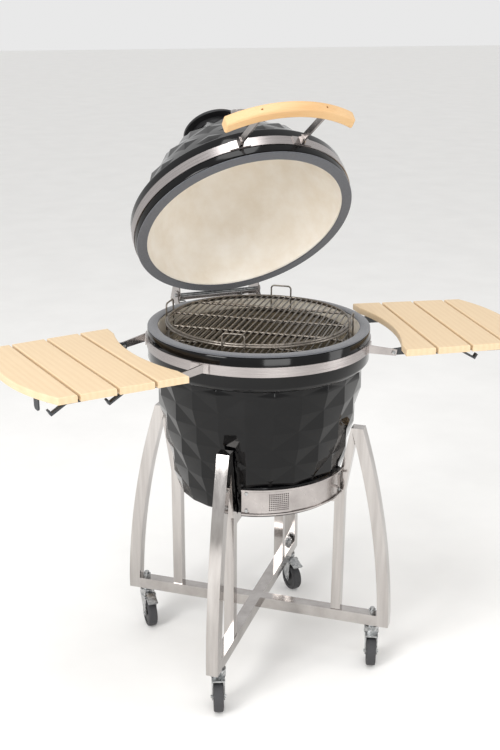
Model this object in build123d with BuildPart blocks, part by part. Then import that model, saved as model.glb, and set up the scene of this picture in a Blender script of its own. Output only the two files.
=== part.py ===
"""Kamado ceramic grill on a four-legged rolling stand, with fold-down side tables.

Frame: +Z up, the origin on the bowl's axis at floor level, -Y the front, +X to the right.
The lid stands open on its stop; the tables are level; the casters trail where they were left.
"""
import os
from math import asin, cos, degrees, radians, sin, sqrt

from build123d import *

# ---------------------------------------------------------------- driving dimensions (mm, degrees)
BELT_R = 270.0  # thickened black belt round the rim of bowl and lid
WALL = 26.0  # ceramic wall at the rim
BOWL_BOTTOM_Z = 470.0  # flat underside of the bowl
BELT_STEP = 8.0  # how far the belt stands out from the bowl's side
BOWL_TAPER = 59.0  # how much narrower the bowl is at the bottom
BOWL_BULGE = 5.0  # how far the side swells beyond a straight cone
RIM_Z = 883.6  # ceramic rim of the bowl
BELT_BELOW = 77.6  # how far the belt reaches below the rim
BASE_THICK = 30.0  # ceramic floor of the bowl
FELT_T = 4.0
FELT_W = 25.0
FELT_INSET = 0.6
SEAT_GAP = 0.4  # between the two felts with the lid shut
BAND_T = 2.0
BAND_H = 23.3
BAND_BELOW_RIM = 21.6  # rim to the nearer edge of the band
CERAMIC_GAP = 0.3  # steel to ceramic, and ceramic to ceramic

LID_BELT_H = 68.0
DOME_H = 282.0  # height of the dome's parabola above the closing plane
CHIMNEY_R = 52.0
LID_OPEN = 48.0
HINGE_BACK = 16.0  # hinge pin behind the belt
HINGE_RISE = 12.4  # hinge pin above the rim
PIN_R = 5.0
RUN_FIT = 0.08  # radial clearance of a running fit
PLATE = 3.0  # hinge and bracket sheet

TURN = 5.7  # stand and draft door, turned from the hinge line as the grill was put together
TUBE = 30.0
TUBE_WALL = 1.5
POST = 25.0
LEG_GRIP = 10.0  # leg tops beyond the bowl's widest radius under the belt
LEG_BELLY = 69.0  # how far a leg's belly stands out from its top
LEG_SPREAD = 19.0  # how far a leg's foot stands out from its belly
LEG_RISE = 178.0  # leg tops above the bottom of the bowl
BELLY_DROP = 125.0  # bellies below the bottom of the bowl
POST_OUTSET = 16.0  # posts beyond the bottom of the bowl
STEM_INSET = 45.0  # caster stems inside the legs' feet

WHEEL_R = 37.5
WHEEL_W = 24.0
TRAIL = 24.0
CROWN_CLEAR = 7.0  # fork's crown above the wheel
CASTER_NECK = 25.0  # crown to the arm on top of it
STEM_R = 6.0
CASTER_ANGLES = {"front_left": -18.0, "front_right": -26.0, "rear_right": 6.0, "rear_left": -2.0}

TABLE_TOE = 9.4  # each table is clamped a little forward of square
TABLE_BELOW_RIM = 19.0
SLAT_T = 16.0
SLAT_GAP = 7.0
SLAT_PITCH = 87.0
FIRST_SLAT = 77.0
TABLE_GAP = 8.0  # table's inner edge beyond its pivots
TABLE_HOLLOWED = 33.0  # depth of the hollowed inner edge
TABLE_LONG = 296.0
TABLE_BOW = 48.0  # how far the outer edge bows out
TABLE_HALF = 210.0
PIVOT_REACH = 27.0  # pivots beyond the belt
PIVOT_DROP = 26.0  # pivot below the table top
ARM_SIDE = 138.0  # bracket arms either side of the table's middle line

GRATE_PLAY = 22.0  # between the grates and the ceramic inside the rim
GRATE_RISE = 14.4  # upper grate above the rim
GRATE_LEVELS = 36.0  # between the two grates
GRATE_TURN = 36.9
BAR_R = 2.0
RING_R = 3.0
BAR_PITCH = 15.0
HOOP_RISE = 26.0  # hoops above the upper grate

DRAFT_OFF = 1.3  # draft opening, turned from the stand
DRAFT_RISE = 40.5  # middle of the draft opening above the bottom of the bowl
DRAFT_H = 44.0
DRAFT_W = 172.0
FRAME_H = 66.0
FRAME_SPAN = 78.0
SCREW_R = 2.5
SCREW_DEEP = 8.0
SCREW_EDGE = 11.0  # screws from the frame's long edges
SCREW_END = 3.0  # degrees from the frame's ends

os.makedirs("parts", exist_ok=True)


# ---------------------------------------------------------------- shared helpers
def on(base: Plane, at=(0, 0, 0), turn=(0, 0, 0)) -> Plane:
    """A plane placed in the coordinates of another one."""
    return Plane(base.location * Location(at, turn))


def keep(part, label: str) -> None:
    """Name a finished piece and write its STEP file."""
    part.label = label
    export_step(part, f"parts/{label}.step")


def outward(phi: float) -> Plane:
    """Plane at the bowl's axis: x points outward at phi from the front, y along the rim, z up."""
    a = radians(phi)
    return Plane(origin=(0, 0, 0), x_dir=(sin(a), -cos(a), 0), z_dir=(0, 0, 1))


def upright(base: Plane, at=(0, 0, 0)) -> Plane:
    """Sketch plane with the base plane's x across and its z up."""
    return on(base, at, (90, 0, 0))


def facing(base: Plane, at=(0, 0, 0)) -> Plane:
    """Sketch plane that faces along the base plane's x, with its y across and its z up."""
    return on(base, at, (90, 90, 0))


def keep_group(pieces, label: str) -> None:
    """Write several separate solids as one node."""
    keep(Compound(children=list(pieces)), label)


def ring(plane: Plane, r_in: float, r_out: float, height: float):
    """A plain ring standing on a plane."""
    with BuildPart() as made:
        with BuildSketch(plane):
            Circle(r_out)
            Circle(r_in, mode=Mode.SUBTRACT)
        extrude(amount=height)
    return made.part


def arc_strap(plane: Plane, r_in: float, thick: float, height: float, span: float):
    """A strap bent round the bowl's axis, centred on the plane's -y direction."""
    half = radians(span / 2)
    reach = (r_in + thick) * 1.5
    with BuildPart() as made:
        with BuildSketch(plane):
            Circle(r_in + thick)
            Circle(r_in, mode=Mode.SUBTRACT)
            Polygon(
                (0, 0),
                (-reach * sin(half), -reach * cos(half)),
                (0, -reach / cos(half)),
                (reach * sin(half), -reach * cos(half)),
                align=None,
                mode=Mode.INTERSECT,
            )
        extrude(amount=height)
    return made.part


def slab(plane: Plane, points, thick: float):
    """A flat plate cut to an outline, half its thickness to each side of the plane."""
    with BuildPart() as made:
        with BuildSketch(plane):
            Polygon(*points, align=None)
        extrude(amount=thick / 2, both=True)
    return made.part


def rod(start, end, radius: float):
    """A round bar between two points."""
    line = Vector(*end) - Vector(*start)
    with BuildPart() as made:
        with BuildSketch(Plane(origin=start, z_dir=line)):
            Circle(radius)
        extrude(amount=line.length)
    return made.part


def bolt(plane: Plane, shank_r: float, shank: float, head_r: float, head: float):
    """A hex-headed bolt: the plane is under the head, the shank runs along -z."""
    with BuildPart() as made:
        with BuildSketch(plane):
            RegularPolygon(head_r, 6)
        extrude(amount=head)
        with BuildSketch(plane):
            Circle(shank_r)
        extrude(amount=-shank)
    return made.part


# ---------------------------------------------------------------- sizes that follow
BOWL_TOP_R = BELT_R - BELT_STEP
BOWL_BOTTOM_R = BOWL_TOP_R - BOWL_TAPER
HINGE_Y = BELT_R + HINGE_BACK
HINGE_Z = RIM_Z + HINGE_RISE
CROWN_Z = 2 * WHEEL_R + CROWN_CLEAR
ARM_BOTTOM_Z = CROWN_Z + CASTER_NECK
LEG_TOP_R = BOWL_TOP_R + LEG_GRIP
LEG_BULGE_R = LEG_TOP_R + LEG_BELLY
LEG_FOOT_R = LEG_BULGE_R + LEG_SPREAD
LEG_TOP_Z = BOWL_BOTTOM_Z + LEG_RISE
LEG_BULGE_Z = BOWL_BOTTOM_Z - BELLY_DROP
POST_R = BOWL_BOTTOM_R + POST_OUTSET
STEM_R_POS = LEG_FOOT_R - STEM_INSET
TABLE_TOP_Z = RIM_Z - TABLE_BELOW_RIM
PIVOT_OUT = BELT_R + PIVOT_REACH
TABLE_IN = PIVOT_OUT + TABLE_GAP
TABLE_HOLLOW = TABLE_IN + TABLE_HOLLOWED
TABLE_CORNER = TABLE_IN + TABLE_LONG
TABLE_OUT = TABLE_CORNER + TABLE_BOW
GRATE_R = BELT_R - WALL - GRATE_PLAY
GRATE_UP_Z = RIM_Z + GRATE_RISE
GRATE_LOW_Z = GRATE_UP_Z - GRATE_LEVELS
RACK_TOP_Z = GRATE_UP_Z + HOOP_RISE
DRAFT_TURN = TURN + DRAFT_OFF
DRAFT_Z = BOWL_BOTTOM_Z + DRAFT_RISE
SCREW_AROUND = FRAME_SPAN / 2 - SCREW_END
SCREW_UP = FRAME_H / 2 - SCREW_EDGE
SCREW_SPOTS = tuple((around, up) for around in (-SCREW_AROUND, SCREW_AROUND) for up in (-SCREW_UP, SCREW_UP))
FELT_OUT_R = BELT_R - FELT_INSET
FELT_IN_R = FELT_OUT_R - FELT_W
RIM_IN_R = BELT_R - WALL
BELT_LOW_Z = RIM_Z - BELT_BELOW + 5.0
BAND_TOP_Z = RIM_Z - BAND_BELOW_RIM
BAND_LOW_Z = BAND_TOP_Z - BAND_H
BAND_IN_R = BELT_R + CERAMIC_GAP
BAND_OUT_R = BAND_IN_R + BAND_T
SHUT_Z = RIM_Z + FELT_T + SEAT_GAP

# The open lid's plane: x to the right, y to the hinge, z up the dome.
OPEN_SIN = sin(radians(LID_OPEN))
OPEN_COS = cos(radians(LID_OPEN))
SHUT_RISE = SHUT_Z - HINGE_Z
LID = Plane(
    origin=(
        0,
        HINGE_Y - HINGE_Y * OPEN_COS + SHUT_RISE * OPEN_SIN,
        HINGE_Z + HINGE_Y * OPEN_SIN + SHUT_RISE * OPEN_COS,
    ),
    x_dir=(1, 0, 0),
    z_dir=(0, OPEN_SIN, OPEN_COS),
)


# ---------------------------------------------------------------- bowl
BOWL_TOP_Z = BELT_LOW_Z - 11.0


def radius_at(z: float) -> float:
    """Outer radius of the bowl at a height below its belt."""
    t = (z - BOWL_BOTTOM_Z) / (BOWL_TOP_Z - BOWL_BOTTOM_Z)
    return BOWL_BOTTOM_R + (BOWL_TOP_R - BOWL_BOTTOM_R) * t + 4 * BOWL_BULGE * t * (1 - t)


BOWL_MID_Z = (BOWL_BOTTOM_Z + BOWL_TOP_Z) / 2
BOWL_FLOOR_Z = BOWL_BOTTOM_Z + BASE_THICK
BOWL_FLOOR_R = radius_at(BOWL_FLOOR_Z) - WALL
PAD_TOP_Z = DRAFT_Z + FRAME_H / 2 + 2.0
PAD_R = radius_at(PAD_TOP_Z)  # upright pad on the bowl that the draft frame seats on

with BuildPart() as base_bowl:
    with BuildSketch(Plane.XZ):
        with BuildLine():
            Line((0, BOWL_BOTTOM_Z), (BOWL_BOTTOM_R, BOWL_BOTTOM_Z))
            ThreePointArc(
                (BOWL_BOTTOM_R, BOWL_BOTTOM_Z),
                (radius_at(BOWL_MID_Z), BOWL_MID_Z),
                (BOWL_TOP_R, BOWL_TOP_Z),
            )
            Polyline((BOWL_TOP_R, BOWL_TOP_Z), (BELT_R, BELT_LOW_Z), (BELT_R, RIM_Z), (RIM_IN_R, RIM_Z),
                     (BOWL_TOP_R - WALL, BOWL_TOP_Z))
            ThreePointArc(
                (BOWL_TOP_R - WALL, BOWL_TOP_Z),
                (radius_at(BOWL_MID_Z) - WALL, BOWL_MID_Z),
                (BOWL_FLOOR_R, BOWL_FLOOR_Z),
            )
            Polyline((BOWL_FLOOR_R, BOWL_FLOOR_Z), (0, BOWL_FLOOR_Z), (0, BOWL_BOTTOM_Z))
        make_face()
    revolve(axis=Axis.Z)
    add(
        arc_strap(
            on(outward(DRAFT_TURN), (0, 0, BOWL_BOTTOM_Z), (0, 0, 90)),
            BOWL_BOTTOM_R - WALL / 2,
            PAD_R - BOWL_BOTTOM_R + WALL / 2,
            PAD_TOP_Z - BOWL_BOTTOM_Z,
            FRAME_SPAN + 1.0,
        )
    )
    with BuildSketch(facing(outward(DRAFT_TURN), (0, 0, DRAFT_Z))):
        RectangleRounded(DRAFT_W, DRAFT_H, DRAFT_H / 7)
    extrude(amount=BELT_R, mode=Mode.SUBTRACT)
    for around, up in SCREW_SPOTS:
        with BuildSketch(facing(outward(DRAFT_TURN + around), (PAD_R - SCREW_DEEP, 0, DRAFT_Z + up))):
            Circle(SCREW_R)
        extrude(amount=SCREW_DEEP + 1.0, mode=Mode.SUBTRACT)
keep(base_bowl.part, "base_bowl")

keep(ring(Plane.XY.offset(RIM_Z), FELT_IN_R, FELT_OUT_R, FELT_T), "base_gasket")
keep(ring(Plane.XY.offset(BAND_LOW_Z), BAND_IN_R, BAND_OUT_R, BAND_H), "base_band")

# ---------------------------------------------------------------- fire parts inside the bowl
FIRE_GAP = 6.0
FIRE_WALL = 22.0
FIREBOX_BELOW_RIM = 193.6
FIREBOX_TOP_Z = RIM_Z - FIREBOX_BELOW_RIM
FIREBOX_LOW_R = BOWL_FLOOR_R - FIRE_GAP
FIREBOX_TOP_R = radius_at(FIREBOX_TOP_Z) - WALL - FIRE_GAP - BOWL_BULGE
FIRE_PORT_H = 62.0
COAL_RISE = 85.0  # charcoal grate above the ceramic floor
COAL_Z = BOWL_FLOOR_Z + COAL_RISE
COAL_LEDGE = 16.0
COAL_GRATE_T = 8.0
HOOPS = 4
HOOP_HALF = 26.0
HOOP_BEND = 8.0
HOOP_R = GRATE_R + RING_R + BAR_R
RACK_RING_R = sqrt(HOOP_R**2 + HOOP_HALF**2) - BAR_R - RING_R
GRATE_STEP = sqrt((2 * RING_R) ** 2 - (RACK_RING_R - GRATE_R + RING_R) ** 2)  # rim above the ring it beds on
RACK_SEAT_Z = GRATE_LOW_Z - GRATE_STEP - RING_R


def firebox_in(z: float) -> float:
    """Inner radius of the firebox at a height."""
    t = (z - BOWL_FLOOR_Z) / (FIREBOX_TOP_Z - BOWL_FLOOR_Z)
    return FIREBOX_LOW_R - FIRE_WALL + (FIREBOX_TOP_R - FIREBOX_LOW_R) * t


with BuildPart() as firebox:
    with BuildSketch(Plane.XZ):
        Polygon(
            (firebox_in(BOWL_FLOOR_Z), BOWL_FLOOR_Z),
            (FIREBOX_LOW_R, BOWL_FLOOR_Z),
            (FIREBOX_TOP_R, FIREBOX_TOP_Z),
            (FIREBOX_TOP_R - FIRE_WALL, FIREBOX_TOP_Z),
            (firebox_in(COAL_Z), COAL_Z),
            (firebox_in(COAL_Z) - COAL_LEDGE, COAL_Z),
            (firebox_in(COAL_Z) - COAL_LEDGE, COAL_Z - COAL_LEDGE),
            align=None,
        )
    revolve(axis=Axis.Z)
    with BuildSketch(facing(outward(DRAFT_TURN), (0, 0, BOWL_FLOOR_Z + FIRE_PORT_H / 2 - 1.0))):
        Rectangle(DRAFT_W, FIRE_PORT_H + 2.0)
    extrude(amount=BELT_R, mode=Mode.SUBTRACT)
keep(firebox.part, "firebox")

FIRE_RING_R = FIREBOX_TOP_R - 1.0
FIRE_LIP_R = GRATE_R + 6.0
FIRE_LIP_T = 16.0
with BuildPart() as fire_ring:
    with BuildSketch(Plane.XZ):
        Polygon(
            (FIRE_RING_R - FIRE_WALL, FIREBOX_TOP_Z),
            (FIRE_RING_R, FIREBOX_TOP_Z),
            (FIRE_RING_R, RACK_SEAT_Z - 2 * FIRE_LIP_T),
            (FIRE_LIP_R, RACK_SEAT_Z - FIRE_LIP_T),
            (FIRE_LIP_R, RACK_SEAT_Z),
            (FIRE_RING_R - FIRE_WALL, RACK_SEAT_Z),
            align=None,
        )
    revolve(axis=Axis.Z)
keep(fire_ring.part, "fire_ring")

COAL_GRATE_R = firebox_in(COAL_Z) - 2.0
AIR_HOLE_R = 7.0
AIR_RINGS = 4
AIR_STEP = (COAL_GRATE_R - COAL_LEDGE - AIR_HOLE_R) / AIR_RINGS
with BuildPart() as charcoal_grate:
    with BuildSketch(Plane.XY.offset(COAL_Z)):
        Circle(COAL_GRATE_R)
        for k in range(1, AIR_RINGS + 1):
            with PolarLocations(k * AIR_STEP, 6 * k):
                Circle(AIR_HOLE_R, mode=Mode.SUBTRACT)
    extrude(amount=COAL_GRATE_T)
keep(charcoal_grate.part, "charcoal_grate")

# ---------------------------------------------------------------- two-level rack and grates
CROSS_BARS = (-110.0, 0.0, 110.0)
BAR_INSET = 1.5  # cross bars stop short of the rack ring outside them


def grate(z: float):
    """A round wire grate: a rim ring, fine bars across it and three cross bars beneath."""
    plane = Plane.XY.rotated((0, 0, -GRATE_TURN)).offset(z)
    bars = int((GRATE_R - RING_R) // BAR_PITCH)
    inside = GRATE_R - RING_R
    with BuildPart() as made:
        with BuildSketch(Plane.XZ):
            with Locations((GRATE_R - RING_R, z)):
                Circle(RING_R)
        revolve(axis=Axis.Z)
        for k in range(-bars, bars + 1):
            half = sqrt(inside**2 - (k * BAR_PITCH) ** 2)
            with BuildSketch(on(plane, (k * BAR_PITCH, -half, 0), (-90, 0, 0))):
                Circle(BAR_R)
            extrude(amount=2 * half)
        for across in CROSS_BARS:
            half = sqrt((inside - BAR_INSET) ** 2 - across**2)
            with BuildSketch(on(plane, (-half, across, -BAR_R), (0, 90, 0))):
                Circle(RING_R)
            extrude(amount=2 * half)
    return made.part


keep(grate(GRATE_UP_Z), "upper_grate")
keep(grate(GRATE_LOW_Z), "lower_grate")

RACK_FOOT_Z = RACK_SEAT_Z + RING_R
BOW_Z = RACK_TOP_Z - HOOP_BEND


def rack_ring(z: float):
    """A plain round ring of the rack that a grate beds on."""
    with BuildPart() as made:
        with BuildSketch(Plane.XZ):
            with Locations((RACK_RING_R, z)):
                Circle(RING_R)
        revolve(axis=Axis.Z)
    return made.part


def hoop_leg(plane: Plane, across: float):
    """A straight upright wire of a lifting hoop, welded to the outside of both rings."""
    foot = (plane.location * Location((HOOP_R, across, RACK_FOOT_Z))).position
    top = (plane.location * Location((HOOP_R, across, BOW_Z))).position
    return rod(tuple(foot), tuple(top), BAR_R)


def hoop_bow(plane: Plane):
    """The bent top of a lifting hoop."""
    side = facing(plane, (HOOP_R, 0, 0))
    with BuildPart() as made:
        with BuildLine(side) as wire:
            FilletPolyline(
                (-HOOP_HALF, BOW_Z),
                (-HOOP_HALF, RACK_TOP_Z),
                (HOOP_HALF, RACK_TOP_Z),
                (HOOP_HALF, BOW_Z),
                radius=HOOP_BEND - 0.01,
            )
        with BuildSketch(on(side, (-HOOP_HALF, BOW_Z, 0), (-90, 0, 0))):
            Circle(BAR_R)
        sweep(path=wire.wires()[0])
    return made.part


rack_pieces = [rack_ring(RACK_FOOT_Z), rack_ring(GRATE_UP_Z - GRATE_STEP)]
for k in range(HOOPS):
    corner = outward(90 * k - GRATE_TURN)
    rack_pieces += [hoop_leg(corner, -HOOP_HALF), hoop_leg(corner, HOOP_HALF), hoop_bow(corner)]
keep_group(rack_pieces, "rack_frame")

# ---------------------------------------------------------------- draft door
FRAME_R = PAD_R + CERAMIC_GAP
FRAME_T = 1.5
RAIL_H = 5.0
RAIL_DEEP = 7.0
DOOR_T = 1.2
DOOR_H = FRAME_H - 2 * RAIL_H - 1.0
DOOR_IN_R = FRAME_R + FRAME_T + 0.3
MESH_IN_R = DOOR_IN_R + DOOR_T + 0.6
DOOR_SPAN = 40.0
MESH_SPAN = 26.0
DOOR_AT = 12.0  # middle of the solid door, degrees round from the middle of the frame
MESH_AT = -21.0
HOLES_AT = -16.0
MESH_HOLE = 2.8
MESH_PITCH = 5.0


def draft_plane(z: float, around: float = 0.0) -> Plane:
    """Plane at a height with its -y direction toward a place round the draft frame."""
    return on(outward(DRAFT_TURN + around), (0, 0, z), (0, 0, 90))


with BuildPart() as draft_frame:
    add(arc_strap(draft_plane(DRAFT_Z - FRAME_H / 2), FRAME_R, FRAME_T, FRAME_H, FRAME_SPAN))
    with BuildSketch(facing(outward(DRAFT_TURN), (0, 0, DRAFT_Z))):
        RectangleRounded(DRAFT_W, DRAFT_H, DRAFT_H / 7)
    extrude(amount=BELT_R, mode=Mode.SUBTRACT)
    for around, up in SCREW_SPOTS:
        with BuildSketch(facing(outward(DRAFT_TURN + around), (FRAME_R - 1.0, 0, DRAFT_Z + up))):
            Circle(SCREW_R)
        extrude(amount=FRAME_T + 2.0, mode=Mode.SUBTRACT)
    for z in (DRAFT_Z - FRAME_H / 2, DRAFT_Z + FRAME_H / 2 - RAIL_H + 1.0):
        add(arc_strap(draft_plane(z), FRAME_R, RAIL_DEEP, RAIL_H - 1.0, FRAME_SPAN))
keep(draft_frame.part, "draft_frame")

with BuildPart() as draft_door:
    add(arc_strap(draft_plane(DRAFT_Z - DOOR_H / 2, DOOR_AT), DOOR_IN_R, DOOR_T, DOOR_H, DOOR_SPAN))
    with BuildSketch(facing(outward(DRAFT_TURN + DOOR_AT + DOOR_SPAN / 2 - 4.0), (DOOR_IN_R, 0, DRAFT_Z))):
        Circle(3.0)
    extrude(amount=12.0)
keep(draft_door.part, "draft_door")

with BuildPart() as draft_screen:
    add(arc_strap(draft_plane(DRAFT_Z - DOOR_H / 2, MESH_AT), MESH_IN_R, DOOR_T, DOOR_H, MESH_SPAN))
    with BuildSketch(facing(outward(DRAFT_TURN + HOLES_AT), (MESH_IN_R - 5.0, 0, DRAFT_Z))):
        with GridLocations(MESH_PITCH, MESH_PITCH, 10, 9):
            Rectangle(MESH_HOLE, MESH_HOLE)
    extrude(amount=20.0, mode=Mode.SUBTRACT)
keep(draft_screen.part, "draft_screen")

SCREW_HEAD_R = 4.5
SCREW_HEAD = 3.0
SCREW_LONG = FRAME_T + CERAMIC_GAP + SCREW_DEEP
keep_group(
    [
        bolt(facing(outward(DRAFT_TURN + around), (FRAME_R + FRAME_T, 0, DRAFT_Z + up)), SCREW_R, SCREW_LONG,
             SCREW_HEAD_R, SCREW_HEAD)
        for around, up in SCREW_SPOTS
    ],
    "draft_screws",
)

# ---------------------------------------------------------------- lid
RIM_H = FELT_T  # ceramic starts above the felt
DOME_R = BELT_R - 5.0
DOME_FOOT_H = LID_BELT_H + 4.0


def dome_height(radius: float, inset: float = 0.0) -> float:
    """Height of the dome's outer parabola over a radius, or of one inset from it."""
    return DOME_H - inset - (DOME_H - DOME_FOOT_H) * (radius / (DOME_R - inset)) ** 2


def parabola(r_low: float, r_high: float, inset: float = 0.0) -> tuple:
    """Control points of the parabola between two radii."""
    slope = -2 * (DOME_H - DOME_FOOT_H) * r_high / (DOME_R - inset) ** 2
    mid = (r_low + r_high) / 2
    top = dome_height(r_high, inset)
    return (r_low, dome_height(r_low, inset)), (mid, top + slope * (mid - r_high)), (r_high, top)


GAUGE_AT = DOME_R - 87.0
GAUGE_HOLE_R = 5.0


def gauge_plane() -> Plane:
    """Plane on the front of the dome that the thermometer stands square to."""
    lean = 2 * (DOME_H - DOME_FOOT_H) * GAUGE_AT / DOME_R**2
    tilt = Plane(origin=(0, 0, 0), x_dir=(1, 0, 0), z_dir=(0, -lean, 1))
    return Plane(LID.location * Location((0, -GAUGE_AT, dome_height(GAUGE_AT))) * tilt.location)


CHIMNEY_RIM_R = CHIMNEY_R + 10.0
LID_SIDE = upright(LID)
LID_AXIS = Axis(LID.origin, LID.z_dir)
with BuildPart() as lid_dome:
    with BuildSketch(LID_SIDE):
        with BuildLine():
            Polyline((RIM_IN_R, RIM_H), (BELT_R, RIM_H), (BELT_R, LID_BELT_H), (DOME_R, DOME_FOOT_H))
            Bezier(*reversed(parabola(CHIMNEY_RIM_R, DOME_R)))
            Polyline((CHIMNEY_RIM_R, dome_height(CHIMNEY_RIM_R)), (CHIMNEY_R, dome_height(CHIMNEY_RIM_R)),
                     (CHIMNEY_R, dome_height(CHIMNEY_R, WALL)))
            Bezier(*parabola(CHIMNEY_R, DOME_R - WALL, WALL))
            Polyline((DOME_R - WALL, dome_height(DOME_R - WALL, WALL)), (RIM_IN_R, RIM_H))
        make_face()
    revolve(axis=LID_AXIS)
    with BuildSketch(gauge_plane().offset(-2 * WALL)):
        Circle(GAUGE_HOLE_R)
    extrude(amount=4 * WALL, mode=Mode.SUBTRACT)
keep(lid_dome.part, "lid_dome")

keep(ring(LID, FELT_IN_R, FELT_OUT_R, FELT_T), "lid_gasket")
LID_BAND_H = RIM_H + BAND_BELOW_RIM - 3.0
keep(ring(LID.offset(LID_BAND_H), BAND_IN_R, BAND_OUT_R, BAND_H), "lid_band")

# ---------------------------------------------------------------- top vent
VENT_SEAT_H = dome_height(CHIMNEY_RIM_R)
COLLAR_R = CHIMNEY_R + 8.0
COLLAR_H = 26.0
CAP_BRIM = 26.0  # cap beyond the chimney
CAP_R = CHIMNEY_R + CAP_BRIM
CAP_FOOT_H = VENT_SEAT_H + COLLAR_H + 0.6
CAP_T = 10.0
CAP_RISE = 14.0
VENT_PIVOT = (CAP_R - 14.0) * sin(radians(45.0))
PIVOT_R = 4.0
EAR_R = 11.0
with BuildPart() as vent_collar:
    with BuildSketch(LID.offset(VENT_SEAT_H)):
        Circle(COLLAR_R)
        Circle(CHIMNEY_R - 4.0, mode=Mode.SUBTRACT)
    extrude(amount=COLLAR_H)
    with BuildSketch(LID.offset(VENT_SEAT_H + COLLAR_H - 8.0)):
        with Locations((-VENT_PIVOT, VENT_PIVOT)):
            Circle(EAR_R)
        with Locations((-VENT_PIVOT / 1.3, VENT_PIVOT / 1.3)):
            Rectangle(EAR_R * 2, EAR_R * 2, rotation=45)
        Circle(CHIMNEY_R - 4.0, mode=Mode.SUBTRACT)
    extrude(amount=8.0)
    with BuildSketch(LID.offset(VENT_SEAT_H + COLLAR_H)):
        with Locations((-VENT_PIVOT, VENT_PIVOT)):
            Circle(PIVOT_R)
    extrude(amount=CAP_T + 6.0)
keep(vent_collar.part, "vent_collar")

PETALS = 5
PETAL_R = 9.0
PETAL_RING = 29.0
DISC_R = 44.0
with BuildPart() as vent_cap:
    with BuildSketch(LID.offset(CAP_FOOT_H)):
        Circle(CAP_R)
    extrude(amount=CAP_T)
    with BuildSketch(LID.offset(CAP_FOOT_H)):
        with Locations((-VENT_PIVOT, VENT_PIVOT)):
            Circle(PIVOT_R + RUN_FIT)
        with PolarLocations(PETAL_RING, PETALS):
            Circle(PETAL_R)
    extrude(amount=CAP_T, mode=Mode.SUBTRACT)
    chamfer(vent_cap.faces().sort_by(LID_AXIS)[-1].outer_wire().edges(), 4.0)
    with BuildSketch(LID.offset(CAP_FOOT_H + CAP_T)):
        Circle(PIVOT_R)
    extrude(amount=CAP_RISE)
keep(vent_cap.part, "vent_cap")

DISC_FOOT_H = CAP_FOOT_H + CAP_T + 0.4
DISC_T = 5.0
KNOB_R = 5.0
KNOB_AT = 36.0
with BuildPart() as vent_disc:
    with BuildSketch(LID.offset(DISC_FOOT_H)):
        Circle(DISC_R)
        Circle(PIVOT_R + RUN_FIT, mode=Mode.SUBTRACT)
        with PolarLocations(PETAL_RING, PETALS, start_angle=18.0):
            Circle(PETAL_R, mode=Mode.SUBTRACT)
    extrude(amount=DISC_T)
    with BuildSketch(LID.offset(DISC_FOOT_H + DISC_T)):
        with Locations((-KNOB_AT, -KNOB_AT / 4)):
            Circle(KNOB_R)
    extrude(amount=10.0)
keep(vent_disc.part, "vent_disc")

# ---------------------------------------------------------------- thermometer
GAUGE_R = 29.0
GAUGE_T = 13.0
STEM_LONG = 60.0
GAUGE_LIFT = 2.5
GAUGE = gauge_plane()
with BuildPart() as dial:
    with BuildSketch(GAUGE.offset(GAUGE_LIFT)):
        Circle(GAUGE_R)
    extrude(amount=GAUGE_T)
    chamfer(dial.edges().sort_by(Axis(GAUGE.origin, GAUGE.z_dir))[-1], 3.0)
with BuildPart() as probe:
    with BuildSketch(GAUGE.offset(GAUGE_LIFT)):
        Circle(GAUGE_HOLE_R - 0.5)
    extrude(amount=-STEM_LONG)
keep_group([dial.part, probe.part], "thermometer")

# ---------------------------------------------------------------- lid handle
HANDLE_HALF = 150.0
HANDLE_REACH = 154.0  # front of the grip beyond the belt
HANDLE_FRONT = BELT_R + HANDLE_REACH
HANDLE_ARC_R = 300.0
HANDLE_T = 25.0
HANDLE_TALL = 27.0
HANDLE_H = -5.0  # middle height in the lid's frame
POST_AT = 75.0
POST_W = 16.0
POST_THICK = 5.0
CLEVIS_T = 2.5
CLEVIS_SPAN = 10.0
CLEVIS_OUT = 17.0
GRIP_SCREW_R = 2.5
GRIP_ARC_Y = HANDLE_FRONT - HANDLE_ARC_R
BAND_MID_H = LID_BAND_H + BAND_H / 2
CLEVIS_IN_R = BAND_OUT_R + CERAMIC_GAP
POST_FOOT = CLEVIS_IN_R + CLEVIS_T - 5.0
POST_END = GRIP_ARC_Y + sqrt((HANDLE_ARC_R - HANDLE_T) ** 2 - (POST_AT + POST_THICK / 2) ** 2)

with BuildPart() as lid_handle:
    with BuildSketch(on(LID, (0, -GRIP_ARC_Y, HANDLE_H - HANDLE_TALL / 2))):
        Circle(HANDLE_ARC_R)
        Circle(HANDLE_ARC_R - HANDLE_T, mode=Mode.SUBTRACT)
        with Locations((0, -HANDLE_ARC_R / 2)):
            Rectangle(2 * HANDLE_HALF, HANDLE_ARC_R, mode=Mode.INTERSECT)
    extrude(amount=HANDLE_TALL)
    fillet(lid_handle.edges(), HANDLE_T / 5)
    for side in (-1, 1):
        with BuildSketch(upright(LID, (side * POST_AT, 0, HANDLE_H))):
            Circle(GRIP_SCREW_R + RUN_FIT)
        extrude(amount=HANDLE_FRONT + HANDLE_T, mode=Mode.SUBTRACT)
keep(lid_handle.part, "lid_handle")


def handle_post(side: int):
    """A flat post from the clevis on the lid band out to the back of the grip."""
    return slab(
        facing(LID, (side * POST_AT, 0, 0)),
        [
            (-POST_FOOT, BAND_MID_H + POST_W / 2),
            (-POST_FOOT, BAND_MID_H - POST_W / 2),
            (-POST_END, HANDLE_H - POST_W / 2),
            (-POST_END, HANDLE_H + POST_W / 2),
        ],
        POST_THICK,
    )


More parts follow.
